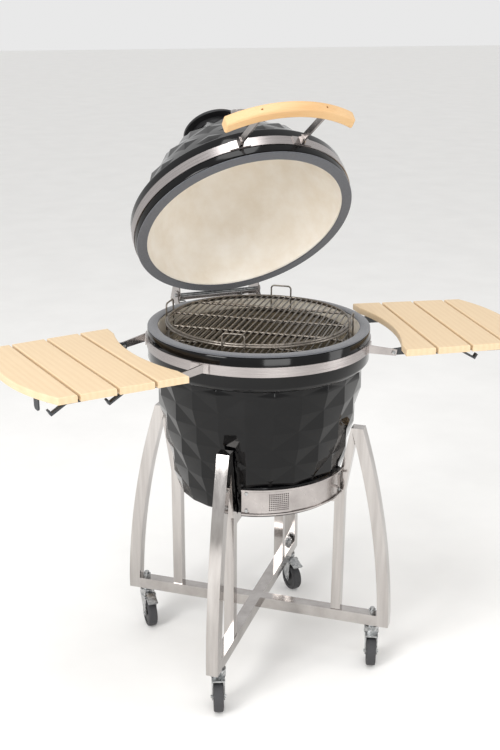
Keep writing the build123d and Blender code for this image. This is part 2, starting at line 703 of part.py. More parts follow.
def handle_clevis(side: int):
    """The forked bracket on the lid band that holds a post's foot."""
    turn = side * degrees(asin(POST_AT / CLEVIS_IN_R))
    foot = on(LID, (0, 0, LID_BAND_H + 1.0), (0, 0, turn))
    near = sqrt(CLEVIS_IN_R**2 - (POST_AT - POST_THICK) ** 2)
    with BuildPart() as made:
        add(arc_strap(foot, CLEVIS_IN_R, CLEVIS_T, BAND_H - 2.0, CLEVIS_SPAN))
        for out in (-1, 1):
            ear_x = side * POST_AT + out * (POST_THICK / 2 + CLEVIS_T / 2 + RUN_FIT)
            add(
                slab(
                    facing(LID, (ear_x, 0, 0)),
                    [
                        (-near - 1.0, BAND_MID_H - BAND_H / 2 + 1.0),
                        (-near - 1.0, BAND_MID_H + BAND_H / 2 - 1.0),
                        (-near - CLEVIS_OUT, BAND_MID_H + POST_W / 3),
                        (-near - CLEVIS_OUT, BAND_MID_H - POST_W / 2),
                    ],
                    CLEVIS_T,
                )
            )
    return made.part


keep_group([handle_post(side) for side in (-1, 1)], "handle_posts")
keep_group([handle_clevis(side) for side in (-1, 1)], "handle_clevises")
SCREW_SINK = 5.0
SCREW_FROM = POST_END + 0.2
SCREW_TO = POST_END + HANDLE_T - SCREW_SINK


def lid_point(x: float, front: float, height: float) -> tuple:
    """A point in front of the lid's axis, in the object's frame."""
    return tuple((LID.location * Location((x, -front, height))).position)


def grip_screw(side: int):
    """A screw through the grip into a post's end."""
    x = side * POST_AT
    return rod(lid_point(x, SCREW_FROM, HANDLE_H), lid_point(x, SCREW_TO, HANDLE_H), GRIP_SCREW_R)


keep_group([grip_screw(side) for side in (-1, 1)], "handle_screws")

# ---------------------------------------------------------------- spring hinge at the back
STRAP_PAST = 12.5  # strap ends beyond the side plates
HINGE_HALF = 112.5  # inner face of the bowl's hinge plates
HINGE_GAP = 1.0
ROD_R = 5.0
LOW_ROD = (HINGE_Y + 36.0, HINGE_Z - 136.0)
TOP_ROD = (HINGE_Y + 50.0, SHUT_Z + 30.0)  # with the lid shut
SPRING_AT = 84.0
SPRING_R = 11.0
HINGE_IN_R = BAND_OUT_R + CERAMIC_GAP
PLATE_FOOT_Y = sqrt((HINGE_IN_R + PLATE) ** 2 - HINGE_HALF**2) + 1.0
STRAP_SPAN = 2 * degrees(asin((HINGE_HALF + PLATE + STRAP_PAST) / HINGE_IN_R))


def hinge_plate(x: float, points, holes) -> object:
    """A hinge side plate at x, its outline as (back, height), with its rod holes."""
    with BuildPart() as made:
        with BuildSketch(Plane(origin=(x, 0, 0), x_dir=(0, 1, 0), z_dir=(1, 0, 0))):
            Polygon(*points, align=None)
            for (y, z), radius in holes:
                with Locations((y, z)):
                    Circle(radius, mode=Mode.SUBTRACT)
        extrude(amount=PLATE / 2, both=True)
    return made.part


def lid_shut(shape):
    """Swing a piece drawn with the lid shut to the open lid."""
    return shape.rotate(Axis((0, HINGE_Y, HINGE_Z), (1, 0, 0)), -LID_OPEN)


BASE_PLATE = [
    (PLATE_FOOT_Y, BAND_LOW_Z + 1.0),
    (PLATE_FOOT_Y, BAND_TOP_Z - 1.0),
    (HINGE_Y - 12.0, HINGE_Z - 8.0),
    (HINGE_Y - 10.0, HINGE_Z + 10.0),
    (HINGE_Y + 11.0, HINGE_Z + 10.0),
    (HINGE_Y + 14.0, BAND_LOW_Z + 10.0),
    (LOW_ROD[0] + 11.0, LOW_ROD[1] + 11.0),
    (LOW_ROD[0] + 11.0, LOW_ROD[1] - 11.0),
    (LOW_ROD[0] - 12.0, LOW_ROD[1] - 11.0),
]
LID_PLATE = [
    (PLATE_FOOT_Y, SHUT_Z + LID_BAND_H + 1.0),
    (PLATE_FOOT_Y, SHUT_Z + LID_BAND_H + BAND_H - 1.0),
    (HINGE_Y + 14.0, SHUT_Z + LID_BAND_H + BAND_H + 4.0),
    (TOP_ROD[0] + 10.0, TOP_ROD[1] + 10.0),
    (TOP_ROD[0] + 10.0, TOP_ROD[1] - 10.0),
    (HINGE_Y + 12.0, HINGE_Z - 10.0),
    (HINGE_Y - 10.0, HINGE_Z - 10.0),
]
HINGE_BOLT_R = 4.0
BOLT_SPOTS = (-18.5, -6.5, 6.5, 18.5)
BASE_PLATE_X = HINGE_HALF + PLATE / 2
LID_PLATE_X = HINGE_HALF - HINGE_GAP - PLATE / 2


def hinge_strap(band_z: float):
    """A strap round the back of a band, drilled for its bolts."""
    back = on(outward(180.0), (0, 0, band_z + 1.0), (0, 0, 90))
    with BuildPart() as made:
        add(arc_strap(back, HINGE_IN_R, PLATE, BAND_H - 2.0, STRAP_SPAN))
        for around in BOLT_SPOTS:
            with BuildSketch(facing(outward(180.0 + around), (HINGE_IN_R - PLATE, 0, band_z + BAND_H / 2))):
                Circle(HINGE_BOLT_R)
            extrude(amount=3 * PLATE, mode=Mode.SUBTRACT)
    return made.part


def hinge_bolts(band_z: float) -> list:
    """The bolts that hold a hinge strap to its band."""
    seat = HINGE_IN_R + PLATE + 0.1
    return [
        bolt(facing(outward(180.0 + around), (seat, 0, band_z + BAND_H / 2)), HINGE_BOLT_R, PLATE, 7.0, 5.0)
        for around in BOLT_SPOTS
    ]


PIN_HALF = HINGE_HALF + PLATE + 4.0
LID_ROD_HALF = LID_PLATE_X + PLATE / 2
LID_BAND_Z = SHUT_Z + LID_BAND_H
base_holes = [((HINGE_Y, HINGE_Z), PIN_R), (LOW_ROD, ROD_R)]
lid_holes = [((HINGE_Y, HINGE_Z), PIN_R + RUN_FIT), (TOP_ROD, ROD_R)]
keep_group(
    [hinge_strap(BAND_LOW_Z), rod((-PIN_HALF, *LOW_ROD), (PIN_HALF, *LOW_ROD), ROD_R)]
    + [hinge_plate(side * BASE_PLATE_X, BASE_PLATE, base_holes) for side in (-1, 1)],
    "hinge_base_bracket",
)
lid_pieces = [hinge_strap(LID_BAND_Z), rod((-LID_ROD_HALF, *TOP_ROD), (LID_ROD_HALF, *TOP_ROD), ROD_R)]
lid_pieces += [hinge_plate(side * LID_PLATE_X, LID_PLATE, lid_holes) for side in (-1, 1)]
keep_group([lid_shut(piece) for piece in lid_pieces], "hinge_lid_bracket")
keep(rod((-PIN_HALF, HINGE_Y, HINGE_Z), (PIN_HALF, HINGE_Y, HINGE_Z), PIN_R), "hinge_pin")
keep_group(hinge_bolts(BAND_LOW_Z), "hinge_base_bolts")
keep_group([lid_shut(piece) for piece in hinge_bolts(LID_BAND_Z)], "hinge_lid_bolts")

ROD_BACK = TOP_ROD[0] - HINGE_Y
ROD_RISE = TOP_ROD[1] - HINGE_Z
TOP_ROD_OPEN = Vector(
    0,
    HINGE_Y + ROD_BACK * OPEN_COS + ROD_RISE * OPEN_SIN,
    HINGE_Z - ROD_BACK * OPEN_SIN + ROD_RISE * OPEN_COS,
)
LOW_ROD_MIDDLE = Vector(0, *LOW_ROD)
PULL = (TOP_ROD_OPEN - LOW_ROD_MIDDLE).normalized()
SPRING_INSET = ROD_R + 1.0
spring_solids = []
for side in (-1, 1):
    shift = Vector(side * SPRING_AT, 0, 0)
    low = LOW_ROD_MIDDLE + PULL * SPRING_INSET + shift
    high = TOP_ROD_OPEN - PULL * SPRING_INSET + shift
    spring_solids.append(rod(tuple(low), tuple(high), SPRING_R))
keep_group(spring_solids, "hinge_springs")

# ---------------------------------------------------------------- side tables
PIVOT_Z = TABLE_TOP_Z - PIVOT_DROP
PIVOT_PIN_R = 4.0
SLATS = 4
ARM_TALL = 20.0
ARM_T = 4.0
FOOT_TURN = degrees(asin((ARM_SIDE - ARM_T) / HINGE_IN_R))
FOOT_SPAN = 10.0
RAIL_TALL = 18.0
RAIL_T = 3.0
RAIL_END = TABLE_OUT - 45.0
HOOKS_AT = (TABLE_IN + 123.0, TABLE_IN + 253.0)
HOOK_T = 4.0
HOOK_W = 12.0
HOOK_STRIP = 70.0
HOOK_INSET = 24.0
TAB_W = 26.0
TAB_DROP = 30.0
TAB_ACROSS = 125.0
TAB_OUT = TABLE_OUT - 30.0
TABLE_UNDER_Z = TABLE_TOP_Z - SLAT_T


def table_plane(side: int) -> Plane:
    """Side table frame: x outward from the bowl's axis, y along the slats, z up."""
    return outward(side * (90.0 - TABLE_TOE))


def table_outline():
    """Edge of the whole top: hollowed on the inner side, bowed on the outer side."""
    neck = TABLE_IN + 4.0
    near, far = TABLE_HALF - 45.0, TABLE_HALF - 10.0
    with BuildLine() as edge:
        Line((TABLE_IN, -TABLE_HALF), (TABLE_CORNER, -far))
        ThreePointArc((TABLE_CORNER, -far), (TABLE_OUT, 0), (TABLE_CORNER, far))
        Line((TABLE_CORNER, far), (TABLE_IN, TABLE_HALF))
        Line((TABLE_IN, TABLE_HALF), (neck, near))
        ThreePointArc((neck, near), (TABLE_HOLLOW, 0), (neck, -near))
        Line((neck, -near), (TABLE_IN, -TABLE_HALF))
    return edge.line.edges()


def slat_edges(index: int) -> tuple:
    """Inner and outer edge of a slat, measured outward; the end slats run past the outline."""
    joint = TABLE_IN + FIRST_SLAT + SLAT_PITCH * index
    first = TABLE_IN - 10.0 if index == 0 else joint - SLAT_PITCH + SLAT_GAP / 2
    last = TABLE_OUT + 10.0 if index == SLATS - 1 else joint - SLAT_GAP / 2
    return first, last


def table_slat(side: int, index: int):
    """One wooden slat of a side table."""
    first, last = slat_edges(index)
    outline = table_outline()
    with BuildPart() as made:
        with BuildSketch(table_plane(side).offset(TABLE_UNDER_Z)):
            make_face(outline)
            with Locations(((first + last) / 2, 0)):
                Rectangle(last - first, 2 * TABLE_HALF + 10.0, mode=Mode.INTERSECT)
        extrude(amount=SLAT_T)
        fillet(made.faces().sort_by(Axis.Z)[-1].edges(), SLAT_T / 6)
    return made.part


def table_rail(side: int, across: float):
    """A rail under the slats, with its ear on the pivot."""
    z = TABLE_UNDER_Z
    with BuildPart() as made:
        with BuildSketch(upright(table_plane(side), (0, across, 0))):
            Polygon(
                (TABLE_HOLLOW - 20.0, z),
                (RAIL_END, z),
                (RAIL_END, z - RAIL_TALL + 6.0),
                (RAIL_END - 20.0, z - RAIL_TALL),
                (PIVOT_OUT - 8.0, z - RAIL_TALL),
                (PIVOT_OUT - 8.0, PIVOT_Z + 7.0),
                align=None,
            )
            with Locations((PIVOT_OUT, PIVOT_Z)):
                Circle(PIVOT_PIN_R + RUN_FIT, mode=Mode.SUBTRACT)
        extrude(amount=RAIL_T / 2, both=True)
    return made.part


def table_hook(side: int, at: float) -> list:
    """A tool hook under the front end of the slats: a flat strip, a slope and an upturned tip."""
    z = TABLE_UNDER_Z
    plane = upright(table_plane(side), (0, -side * (TABLE_HALF - HOOK_INSET), 0))
    strip = [(at - HOOK_STRIP, z), (at + 24.0, z), (at + 22.0, z - HOOK_T), (at - HOOK_STRIP, z - HOOK_T)]
    slope = [(at + 24.0, z), (at + 55.0, z - 18.0), (at + 57.0, z - 24.0), (at + 22.0, z - HOOK_T)]
    tip = [(at + 55.0, z - 18.0), (at + 60.0, z - 10.0), (at + 64.0, z - 12.0), (at + 57.0, z - 24.0)]
    return [slab(plane, points, HOOK_W) for points in (strip, slope, tip)]


def table_tab(side: int):
    """The rounded stop tab under the outer edge of the left table."""
    with BuildPart() as made:
        with BuildSketch(facing(table_plane(side), (TAB_OUT, -side * TAB_ACROSS, TABLE_UNDER_Z))) as outline:
            with Locations((0, -TAB_DROP / 2)):
                Rectangle(TAB_W, TAB_DROP)
            fillet(outline.vertices().group_by(Axis.Y)[0], TAB_W / 3)
        extrude(amount=RAIL_T)
    return made.part


def table_bracket(side: int, across: float):
    """A bracket on the bowl's band: a curved foot and an arm out to the pivot."""
    mid_z = (BAND_LOW_Z + BAND_TOP_Z) / 2
    hand = 1 if across > 0 else -1
    arm_y = across + hand * ((ARM_T + RAIL_T) / 2 + 0.3)
    arm_from = sqrt(HINGE_IN_R**2 - (abs(arm_y) - ARM_T / 2) ** 2)
    foot = on(outward(side * (90.0 - TABLE_TOE) + hand * FOOT_TURN), (0, 0, BAND_LOW_Z + 1.0), (0, 0, 90))
    with BuildPart() as made:
        add(arc_strap(foot, HINGE_IN_R, PLATE, BAND_H - 2.0, FOOT_SPAN))
        with BuildSketch(upright(table_plane(side), (0, arm_y, 0))):
            Polygon(
                (arm_from, mid_z + ARM_TALL / 2),
                (arm_from, mid_z - ARM_TALL / 2),
                (PIVOT_OUT + 7.0, PIVOT_Z - 9.0),
                (PIVOT_OUT + 9.0, PIVOT_Z + 6.0),
                align=None,
            )
            with Locations((PIVOT_OUT, PIVOT_Z)):
                Circle(PIVOT_PIN_R, mode=Mode.SUBTRACT)
        extrude(amount=ARM_T / 2, both=True)
    return made.part


def pivot_pin(side: int, across: float):
    """The pin through a bracket arm and a table rail."""
    hand = 1 if across > 0 else -1
    frame = table_plane(side).location
    start = frame * Location((PIVOT_OUT, across - hand * (RAIL_T / 2 + 4.0), PIVOT_Z))
    end = frame * Location((PIVOT_OUT, across + hand * (RAIL_T / 2 + ARM_T + 4.0), PIVOT_Z))
    return rod(tuple(start.position), tuple(end.position), PIVOT_PIN_R)


SIDES = {"left": -1, "right": 1}
for name, side in SIDES.items():
    keep_group([table_slat(side, k) for k in range(SLATS)], f"{name}_table_slats")
    keep_group([table_rail(side, across) for across in (-ARM_SIDE, ARM_SIDE)], f"{name}_table_rails")
    irons = [piece for at in HOOKS_AT for piece in table_hook(side, at)]
    if name == "left":
        irons.append(table_tab(side))
    keep_group(irons, f"{name}_table_hooks")
corners = [(side, across) for side in SIDES.values() for across in (-ARM_SIDE, ARM_SIDE)]
keep_group([table_bracket(side, across) for side, across in corners], "table_brackets")
keep_group([pivot_pin(side, across) for side, across in corners], "table_pivot_pins")

# ---------------------------------------------------------------- stand
ARM_END = LEG_FOOT_R - TUBE
ARM_MID_Z = ARM_BOTTOM_Z + TUBE / 2
RAIL_MID_Z = BOWL_BOTTOM_Z - POST / 2
POST_IN = POST_R - POST / 2
POST_OUT = POST_R + POST / 2
CORNERS = {"front_left": -45.0, "front_right": 45.0, "rear_right": 135.0, "rear_left": -135.0}


def tube(plane: Plane, start: float, end: float, width: float):
    """A square tube along a plane's x axis between two distances."""
    with BuildPart() as made:
        with BuildSketch(facing(plane, (start, 0, 0))):
            Rectangle(width, width)
            Rectangle(width - 2 * TUBE_WALL, width - 2 * TUBE_WALL, mode=Mode.SUBTRACT)
        extrude(amount=end - start)
    return made.part


def cross_tubes(z: float, end: float, width: float, bore: float = 0.0) -> list:
    """One tube right across and two half tubes against it, bored near the ends for stems."""
    pieces = []
    for phi, start in ((-45.0, -end), (45.0, width / 2), (-135.0, width / 2)):
        plane = on(outward(phi + TURN), (0, 0, z))
        with BuildPart() as made:
            add(tube(plane, start, end, width))
            if bore:
                with BuildSketch(plane.offset(-width)):
                    with Locations((STEM_R_POS, 0), (-STEM_R_POS, 0)):
                        Circle(bore)
                extrude(amount=2 * width, mode=Mode.SUBTRACT)
        pieces.append(made.part)
    return pieces


def leg_outline(inset: float):
    """Side view of a curved leg, or of the hollow inside it."""
    foot = ARM_BOTTOM_Z - (1.0 if inset else 0.0)
    straight = ARM_BOTTOM_Z + TUBE + 3.0
    top = LEG_TOP_Z - inset
    out_r, in_r = LEG_FOOT_R - inset, LEG_FOOT_R - TUBE + inset
    top_out, top_in = LEG_TOP_R - inset, LEG_TOP_R - TUBE + inset
    belly_out, belly_in = LEG_BULGE_R - inset, LEG_BULGE_R - TUBE + inset
    with BuildLine() as edge:
        Line((in_r, foot), (out_r, foot))
        Line((out_r, foot), (out_r, straight))
        ThreePointArc((out_r, straight), (belly_out, LEG_BULGE_Z), (top_out, top))
        Line((top_out, top), (top_in, top))
        ThreePointArc((top_in, top), (belly_in, LEG_BULGE_Z), (in_r, straight))
        Line((in_r, straight), (in_r, foot))
    return edge.line.edges()


def curved_leg(plane: Plane):
    """The bowed outer leg of one leg frame."""
    side = upright(plane)
    outer = leg_outline(0.0)
    inner = leg_outline(TUBE_WALL)
    with BuildPart() as made:
        with BuildSketch(side):
            make_face(outer)
        extrude(amount=TUBE / 2, both=True)
        with BuildSketch(side):
            make_face(inner)
        extrude(amount=TUBE / 2 - TUBE_WALL, both=True, mode=Mode.SUBTRACT)
    return made.part


def post_tube(plane: Plane):
    """The upright post between the cross tubes and the strut."""
    with BuildPart() as made:
        with BuildSketch(on(plane, (POST_R, 0, ARM_BOTTOM_Z + TUBE))):
            Rectangle(POST, POST)
            Rectangle(POST - 2 * TUBE_WALL, POST - 2 * TUBE_WALL, mode=Mode.SUBTRACT)
        extrude(amount=BOWL_BOTTOM_Z - ARM_BOTTOM_Z - TUBE)
    return made.part


STRUT_JOIN_R = LEG_TOP_R - 20.0
STRUT_JOIN_Z = LEG_TOP_Z - 44.0


def strut(plane: Plane):
    """The slanted strut that runs up beside the bowl and meets the leg's top."""
    return slab(
        upright(plane),
        [
            (POST_IN, BOWL_BOTTOM_Z),
            (POST_OUT, BOWL_BOTTOM_Z),
            (STRUT_JOIN_R, STRUT_JOIN_Z),
            (LEG_TOP_R - TUBE - 0.2, LEG_TOP_Z),
        ],
        POST,
    )


keep_group(cross_tubes(ARM_MID_Z, ARM_END, TUBE, STEM_R + RUN_FIT), "base_cross")
keep_group(cross_tubes(RAIL_MID_Z, POST_IN, POST), "bowl_rails")
for name, phi in CORNERS.items():
    plane = outward(phi + TURN)
    keep_group([curved_leg(plane), post_tube(plane), strut(plane)], f"leg_{name}")

# ---------------------------------------------------------------- casters
HUB_R = 26.0
AXLE_R = 4.0
FORK_T = 2.5
FORK_GAP = 1.5
CROWN_T = 4.0
RACE_R = 19.0
COLLAR_Z = ARM_BOTTOM_Z - 3.0
STEM_FOOT_Z = CROWN_Z + 9.0
STEM_TOP_Z = ARM_BOTTOM_Z + TUBE + 16.0
NUT_R = 10.5
NUT_T = 10.0
FORK_HALF = WHEEL_W / 2 + FORK_GAP + FORK_T
CROWN_FRONT = 33.0
PEDAL_PIN = (26.0, STEM_FOOT_Z)
PEDAL_PIN_R = 2.0


def stem_spot(name: str) -> tuple:
    """Where a corner's caster stem stands."""
    a = radians(CORNERS[name] + TURN)
    return STEM_R_POS * sin(a), -STEM_R_POS * cos(a), 0.0


def caster_plane(name: str) -> Plane:
    """Caster frame: the stem's axis at floor level, x the way the wheel trails."""
    a = radians(CASTER_ANGLES[name])
    return Plane(origin=stem_spot(name), x_dir=(sin(a), -cos(a), 0), z_dir=(0, 0, 1))


def stem(plane: Plane):
    """The threaded stem with the collar that carries the arm."""
    with BuildPart() as made:
        with BuildSketch(plane.offset(STEM_FOOT_Z)):
            Circle(STEM_R)
        extrude(amount=STEM_TOP_Z - STEM_FOOT_Z)
        with BuildSketch(plane.offset(COLLAR_Z)):
            Circle(RACE_R - 4.0)
        extrude(amount=ARM_BOTTOM_Z - COLLAR_Z)
    return made.part


def stem_nut(plane: Plane):
    """The nut on top of the arm."""
    with BuildPart() as made:
        with BuildSketch(plane.offset(ARM_BOTTOM_Z + TUBE)):
            RegularPolygon(NUT_R, 6)
            Circle(STEM_R, mode=Mode.SUBTRACT)
        extrude(amount=NUT_T)
    return made.part


def fork(plane: Plane, braked: bool):
    """A pressed swivel fork with its race, its axle, and lugs for a brake pedal."""
    with BuildPart() as made:
        with BuildSketch(plane.offset(CROWN_Z)):
            with Locations(((CROWN_FRONT - RACE_R) / 2, 0)):
                Rectangle(CROWN_FRONT + RACE_R, 2 * FORK_HALF)
        extrude(amount=CROWN_T)
        with BuildSketch(plane.offset(CROWN_Z)):
            Circle(RACE_R)
        extrude(amount=COLLAR_Z - 0.4 - CROWN_Z)
        with BuildSketch(plane.offset(STEM_FOOT_Z - 0.5)):
            Circle(STEM_R + RUN_FIT)
        extrude(amount=COLLAR_Z, mode=Mode.SUBTRACT)
        for side in (-1, 1):
            cheek = upright(plane, (0, side * (FORK_HALF - FORK_T / 2), 0))
            with BuildSketch(cheek):
                Polygon(
                    (-RACE_R, CROWN_Z + 1.0),
                    (CROWN_FRONT, CROWN_Z + 1.0),
                    (CROWN_FRONT + 1.0, WHEEL_R),
                    (TRAIL + 3.0, WHEEL_R - 10.0),
                    (TRAIL - 9.0, WHEEL_R - 5.0),
                    align=None,
                )
            extrude(amount=FORK_T / 2, both=True)
            if braked:
                with BuildSketch(cheek):
                    Polygon(
                        (PEDAL_PIN[0] - 6.0, CROWN_Z),
                        (PEDAL_PIN[0] + 6.0, CROWN_Z),
                        (PEDAL_PIN[0] + 5.0, PEDAL_PIN[1] + 5.0),
                        (PEDAL_PIN[0] - 4.5, PEDAL_PIN[1] + 5.0),
                        align=None,
                    )
                extrude(amount=FORK_T / 2, both=True)
                with BuildSketch(cheek):
                    with Locations(PEDAL_PIN):
                        Circle(PEDAL_PIN_R + RUN_FIT)
                extrude(amount=FORK_T, both=True, mode=Mode.SUBTRACT)
        with BuildSketch(upright(plane, (0, FORK_HALF + 3.0, 0))):
            with Locations((TRAIL, WHEEL_R)):
                Circle(AXLE_R)
        extrude(amount=2 * (FORK_HALF + 3.0))
    return made.part


def wheel_ring(plane: Plane, r_in: float, r_out: float, width: float, edge: float):
    """A wheel ring on the axle with softened edges."""
    with BuildPart() as made:
        with BuildSketch(upright(plane, (TRAIL, width / 2, WHEEL_R))):
            Circle(r_out)
            Circle(r_in, mode=Mode.SUBTRACT)
        extrude(amount=width)
        fillet(made.edges().filter_by(GeomType.CIRCLE).group_by(SortBy.RADIUS)[-1], edge)
    return made.part


def brake_pedal(plane: Plane):
    """The foot pedal of a braked caster, on its cross pin."""
    px, pz = PEDAL_PIN
    half = FORK_HALF - FORK_T - 0.4
    with BuildPart() as made:
        with BuildSketch(upright(plane)):
            Polygon((px - 4.0, pz + 1.0), (px + 34.0, pz - 11.0), (px + 37.0, pz - 6.0), (px - 3.0, pz + 6.0),
                    align=None)
            with Locations((px, pz)):
                Circle(PEDAL_PIN_R + 1.8)
        extrude(amount=half, both=True)
        with BuildSketch(upright(plane)):
            with Locations((px, pz)):
                Circle(PEDAL_PIN_R)
        extrude(amount=FORK_HALF + 1.0, both=True)
    return made.part


spots = {name: Plane(origin=stem_spot(name)) for name in CORNERS}
keep_group([stem(spot) for spot in spots.values()], "caster_stems")
keep_group([stem_nut(spot) for spot in spots.values()], "caster_nuts")
for name in CORNERS:
    plane = caster_plane(name)
    braked = name.startswith("rear")
    keep(fork(plane, braked), f"fork_{name}")
    keep(wheel_ring(plane, AXLE_R + RUN_FIT, HUB_R, WHEEL_W - 3.0, 1.0), f"hub_{name}")
    keep(wheel_ring(plane, HUB_R, WHEEL_R, WHEEL_W, 4.0), f"tyre_{name}")
    if braked:
        keep(brake_pedal(plane), f"pedal_{name}")
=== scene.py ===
"""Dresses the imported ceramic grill: faceted glaze, steel, wood, wire and rubber, in a pale studio."""

import logging
import math
from dataclasses import dataclass, field
from enum import Enum

import bmesh
import bpy
from mathutils import Matrix, Vector


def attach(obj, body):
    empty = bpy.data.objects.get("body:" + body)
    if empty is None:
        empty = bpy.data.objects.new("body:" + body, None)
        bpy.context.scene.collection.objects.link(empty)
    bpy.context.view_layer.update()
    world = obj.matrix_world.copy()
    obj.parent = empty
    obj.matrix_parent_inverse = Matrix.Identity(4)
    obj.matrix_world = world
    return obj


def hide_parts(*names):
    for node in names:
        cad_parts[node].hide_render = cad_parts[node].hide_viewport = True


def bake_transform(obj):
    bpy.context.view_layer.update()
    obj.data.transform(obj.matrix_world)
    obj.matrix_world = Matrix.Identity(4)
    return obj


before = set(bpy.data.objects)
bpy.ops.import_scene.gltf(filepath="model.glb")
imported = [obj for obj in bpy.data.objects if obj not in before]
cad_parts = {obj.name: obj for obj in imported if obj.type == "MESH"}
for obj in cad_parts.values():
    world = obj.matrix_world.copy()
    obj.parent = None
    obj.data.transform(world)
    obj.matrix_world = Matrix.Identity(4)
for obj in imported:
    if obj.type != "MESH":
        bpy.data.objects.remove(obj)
LOG = logging.getLogger("grill")
MM = 0.001
MESH_MERGE = 0.0006  # metres; closes the seam and the poles of a turned piece
FACET_WALL = 8.0  # thickness of the faceted skin in mm
FACET_ROUND = 1.0  # rounding of the facets' edges in mm
SMALL_HOLE = 0.3  # radius in mm that a turned solid keeps at its axis before the pole is merged


class Way(Enum):
    """Pattern scale along x, y and z for a drawn or brushed grain."""

    ROUND = (9.0, 9.0, 1700.0)
    UPRIGHT = (60.0, 60.0, 3.0)
    BOARD = (1.0, 0.055, 1.0)
    GRIP = (0.055, 1.0, 1.0)


def linear(hex_colour: str) -> tuple[float, float, float, float]:
    """Turn an sRGB hex colour to linear light.

    Args:
        hex_colour: Six hex digits.
    Returns:
        Linear red, green, blue and alpha.
    """
    raw = [int(hex_colour[k : k + 2], 16) / 255 for k in (0, 2, 4)]
    light = [c / 12.92 if c <= 0.04045 else ((c + 0.055) / 1.055) ** 2.4 for c in raw]
    return (light[0], light[1], light[2], 1.0)


def add_node(
    tree: bpy.types.NodeTree,
    kind: str,
    settings: dict[str, object] | None = None,
    values: dict[object, object] | None = None,
    links: dict[object, bpy.types.NodeSocket] | None = None,
) -> bpy.types.Node:
    """Add a shader node with its settings, socket values and incoming links.

    Args:
        tree: The node tree.
        kind: The node's type name.
        settings: Attributes of the node.
        values: Socket name or number to its value.
        links: Socket name or number to the output that feeds it.
    Returns:
        The new node.
    """
    node = tree.nodes.new(kind)
    for key, value in (settings or {}).items():
        setattr(node, key, value)
    for key, value in (values or {}).items():
        node.inputs[key].default_value = value
    for key, source in (links or {}).items():
        tree.links.new(source, node.inputs[key])
    return node


# ------------------------------------------------------------------ finishes
@dataclass(frozen=True)
class Finish:
    """A material whose colour, gloss and relief vary with one solid noise.

    Args:
        name: Plain name of the material and how its surface was made.
        dark: Colour of the low places.
        light: Colour of the high places.
        rough: Lowest and highest roughness.
        grain_mm: Size of the pattern.
        stretch: Scale of the pattern along x, y and z, for a drawn or woven surface.
        tilt: Turn of the pattern about x, y and z in degrees.
        metallic: 1 for bare metal.
        relief_mm: Depth of the bump.
        coat: Weight of a clear coat.
        sheen: Weight of the sheen of loose fibres.
        detail: Octaves of the noise.
        contrast: Pattern values that give the dark and the light colour.
        specular: Level of the plain reflection.
    """

    name: str
    dark: str
    light: str
    rough: tuple[float, float]
    grain_mm: float = 4.0
    stretch: tuple[float, float, float] | None = None
    tilt: tuple[float, float, float] = (0.0, 0.0, 0.0)
    metallic: float = 0.0
    relief_mm: float = 0.05
    coat: float = 0.0
    sheen: float = 0.0
    detail: float = 5.0
    contrast: tuple[float, float] = (0.3, 0.7)
    specular: float = 0.5

    def coordinates(self, tree: bpy.types.NodeTree) -> bpy.types.NodeSocket:
        """Object coordinates, turned and stretched to the grain."""
        place = add_node(tree, "ShaderNodeTexCoord")
        turned = add_node(
            tree,
            "ShaderNodeMapping",
            values={"Rotation": tuple(math.radians(a) for a in self.tilt)},
            links={"Vector": place.outputs["Object"]},
        )
        size = self.stretch or (1000.0 / self.grain_mm,) * 3
        scaled = add_node(
            tree, "ShaderNodeMapping", values={"Scale": size}, links={"Vector": turned.outputs["Vector"]}
        )
        return scaled.outputs["Vector"]

    def pattern(self, tree: bpy.types.NodeTree) -> bpy.types.NodeSocket:
        """The height pattern, from 0 to 1."""
        noise = add_node(
            tree,
            "ShaderNodeTexNoise",
            values={"Scale": 1.0, "Detail": self.detail, "Roughness": 0.6},
            links={"Vector": self.coordinates(tree)},
        )
        return noise.outputs["Fac"]

    def build(self) -> bpy.types.Material:
        """Make the material.

        Returns:
            The finished material.
        """
        made = bpy.data.materials.new(self.name)
        made.use_nodes = True
        tree = made.node_tree
        shader = tree.nodes["Principled BSDF"]
        height = self.pattern(tree)
        low, high = self.contrast
        colours = add_node(tree, "ShaderNodeValToRGB", links={"Fac": height})
        colours.color_ramp.elements[0].position = low
        colours.color_ramp.elements[0].color = linear(self.dark)
        colours.color_ramp.elements[1].position = high
        colours.color_ramp.elements[1].color = linear(self.light)
        gloss = add_node(
            tree,
            "ShaderNodeMapRange",
            values={"From Min": low, "From Max": high, "To Min": self.rough[0], "To Max": self.rough[1]},
            links={"Value": height},
        )
        relief = add_node(
            tree,
            "ShaderNodeBump",
            values={"Strength": 1.0, "Distance": self.relief_mm * MM},
            links={"Height": height},
        )
        tree.links.new(colours.outputs["Color"], shader.inputs["Base Color"])
        tree.links.new(gloss.outputs["Result"], shader.inputs["Roughness"])
        tree.links.new(relief.outputs["Normal"], shader.inputs["Normal"])
        shader.inputs["Metallic"].default_value = self.metallic
        shader.inputs["Coat Weight"].default_value = self.coat
        shader.inputs["Coat Roughness"].default_value = 0.04
        shader.inputs["Specular IOR Level"].default_value = self.specular
        shader.inputs["Sheen Weight"].default_value = self.sheen
        return made


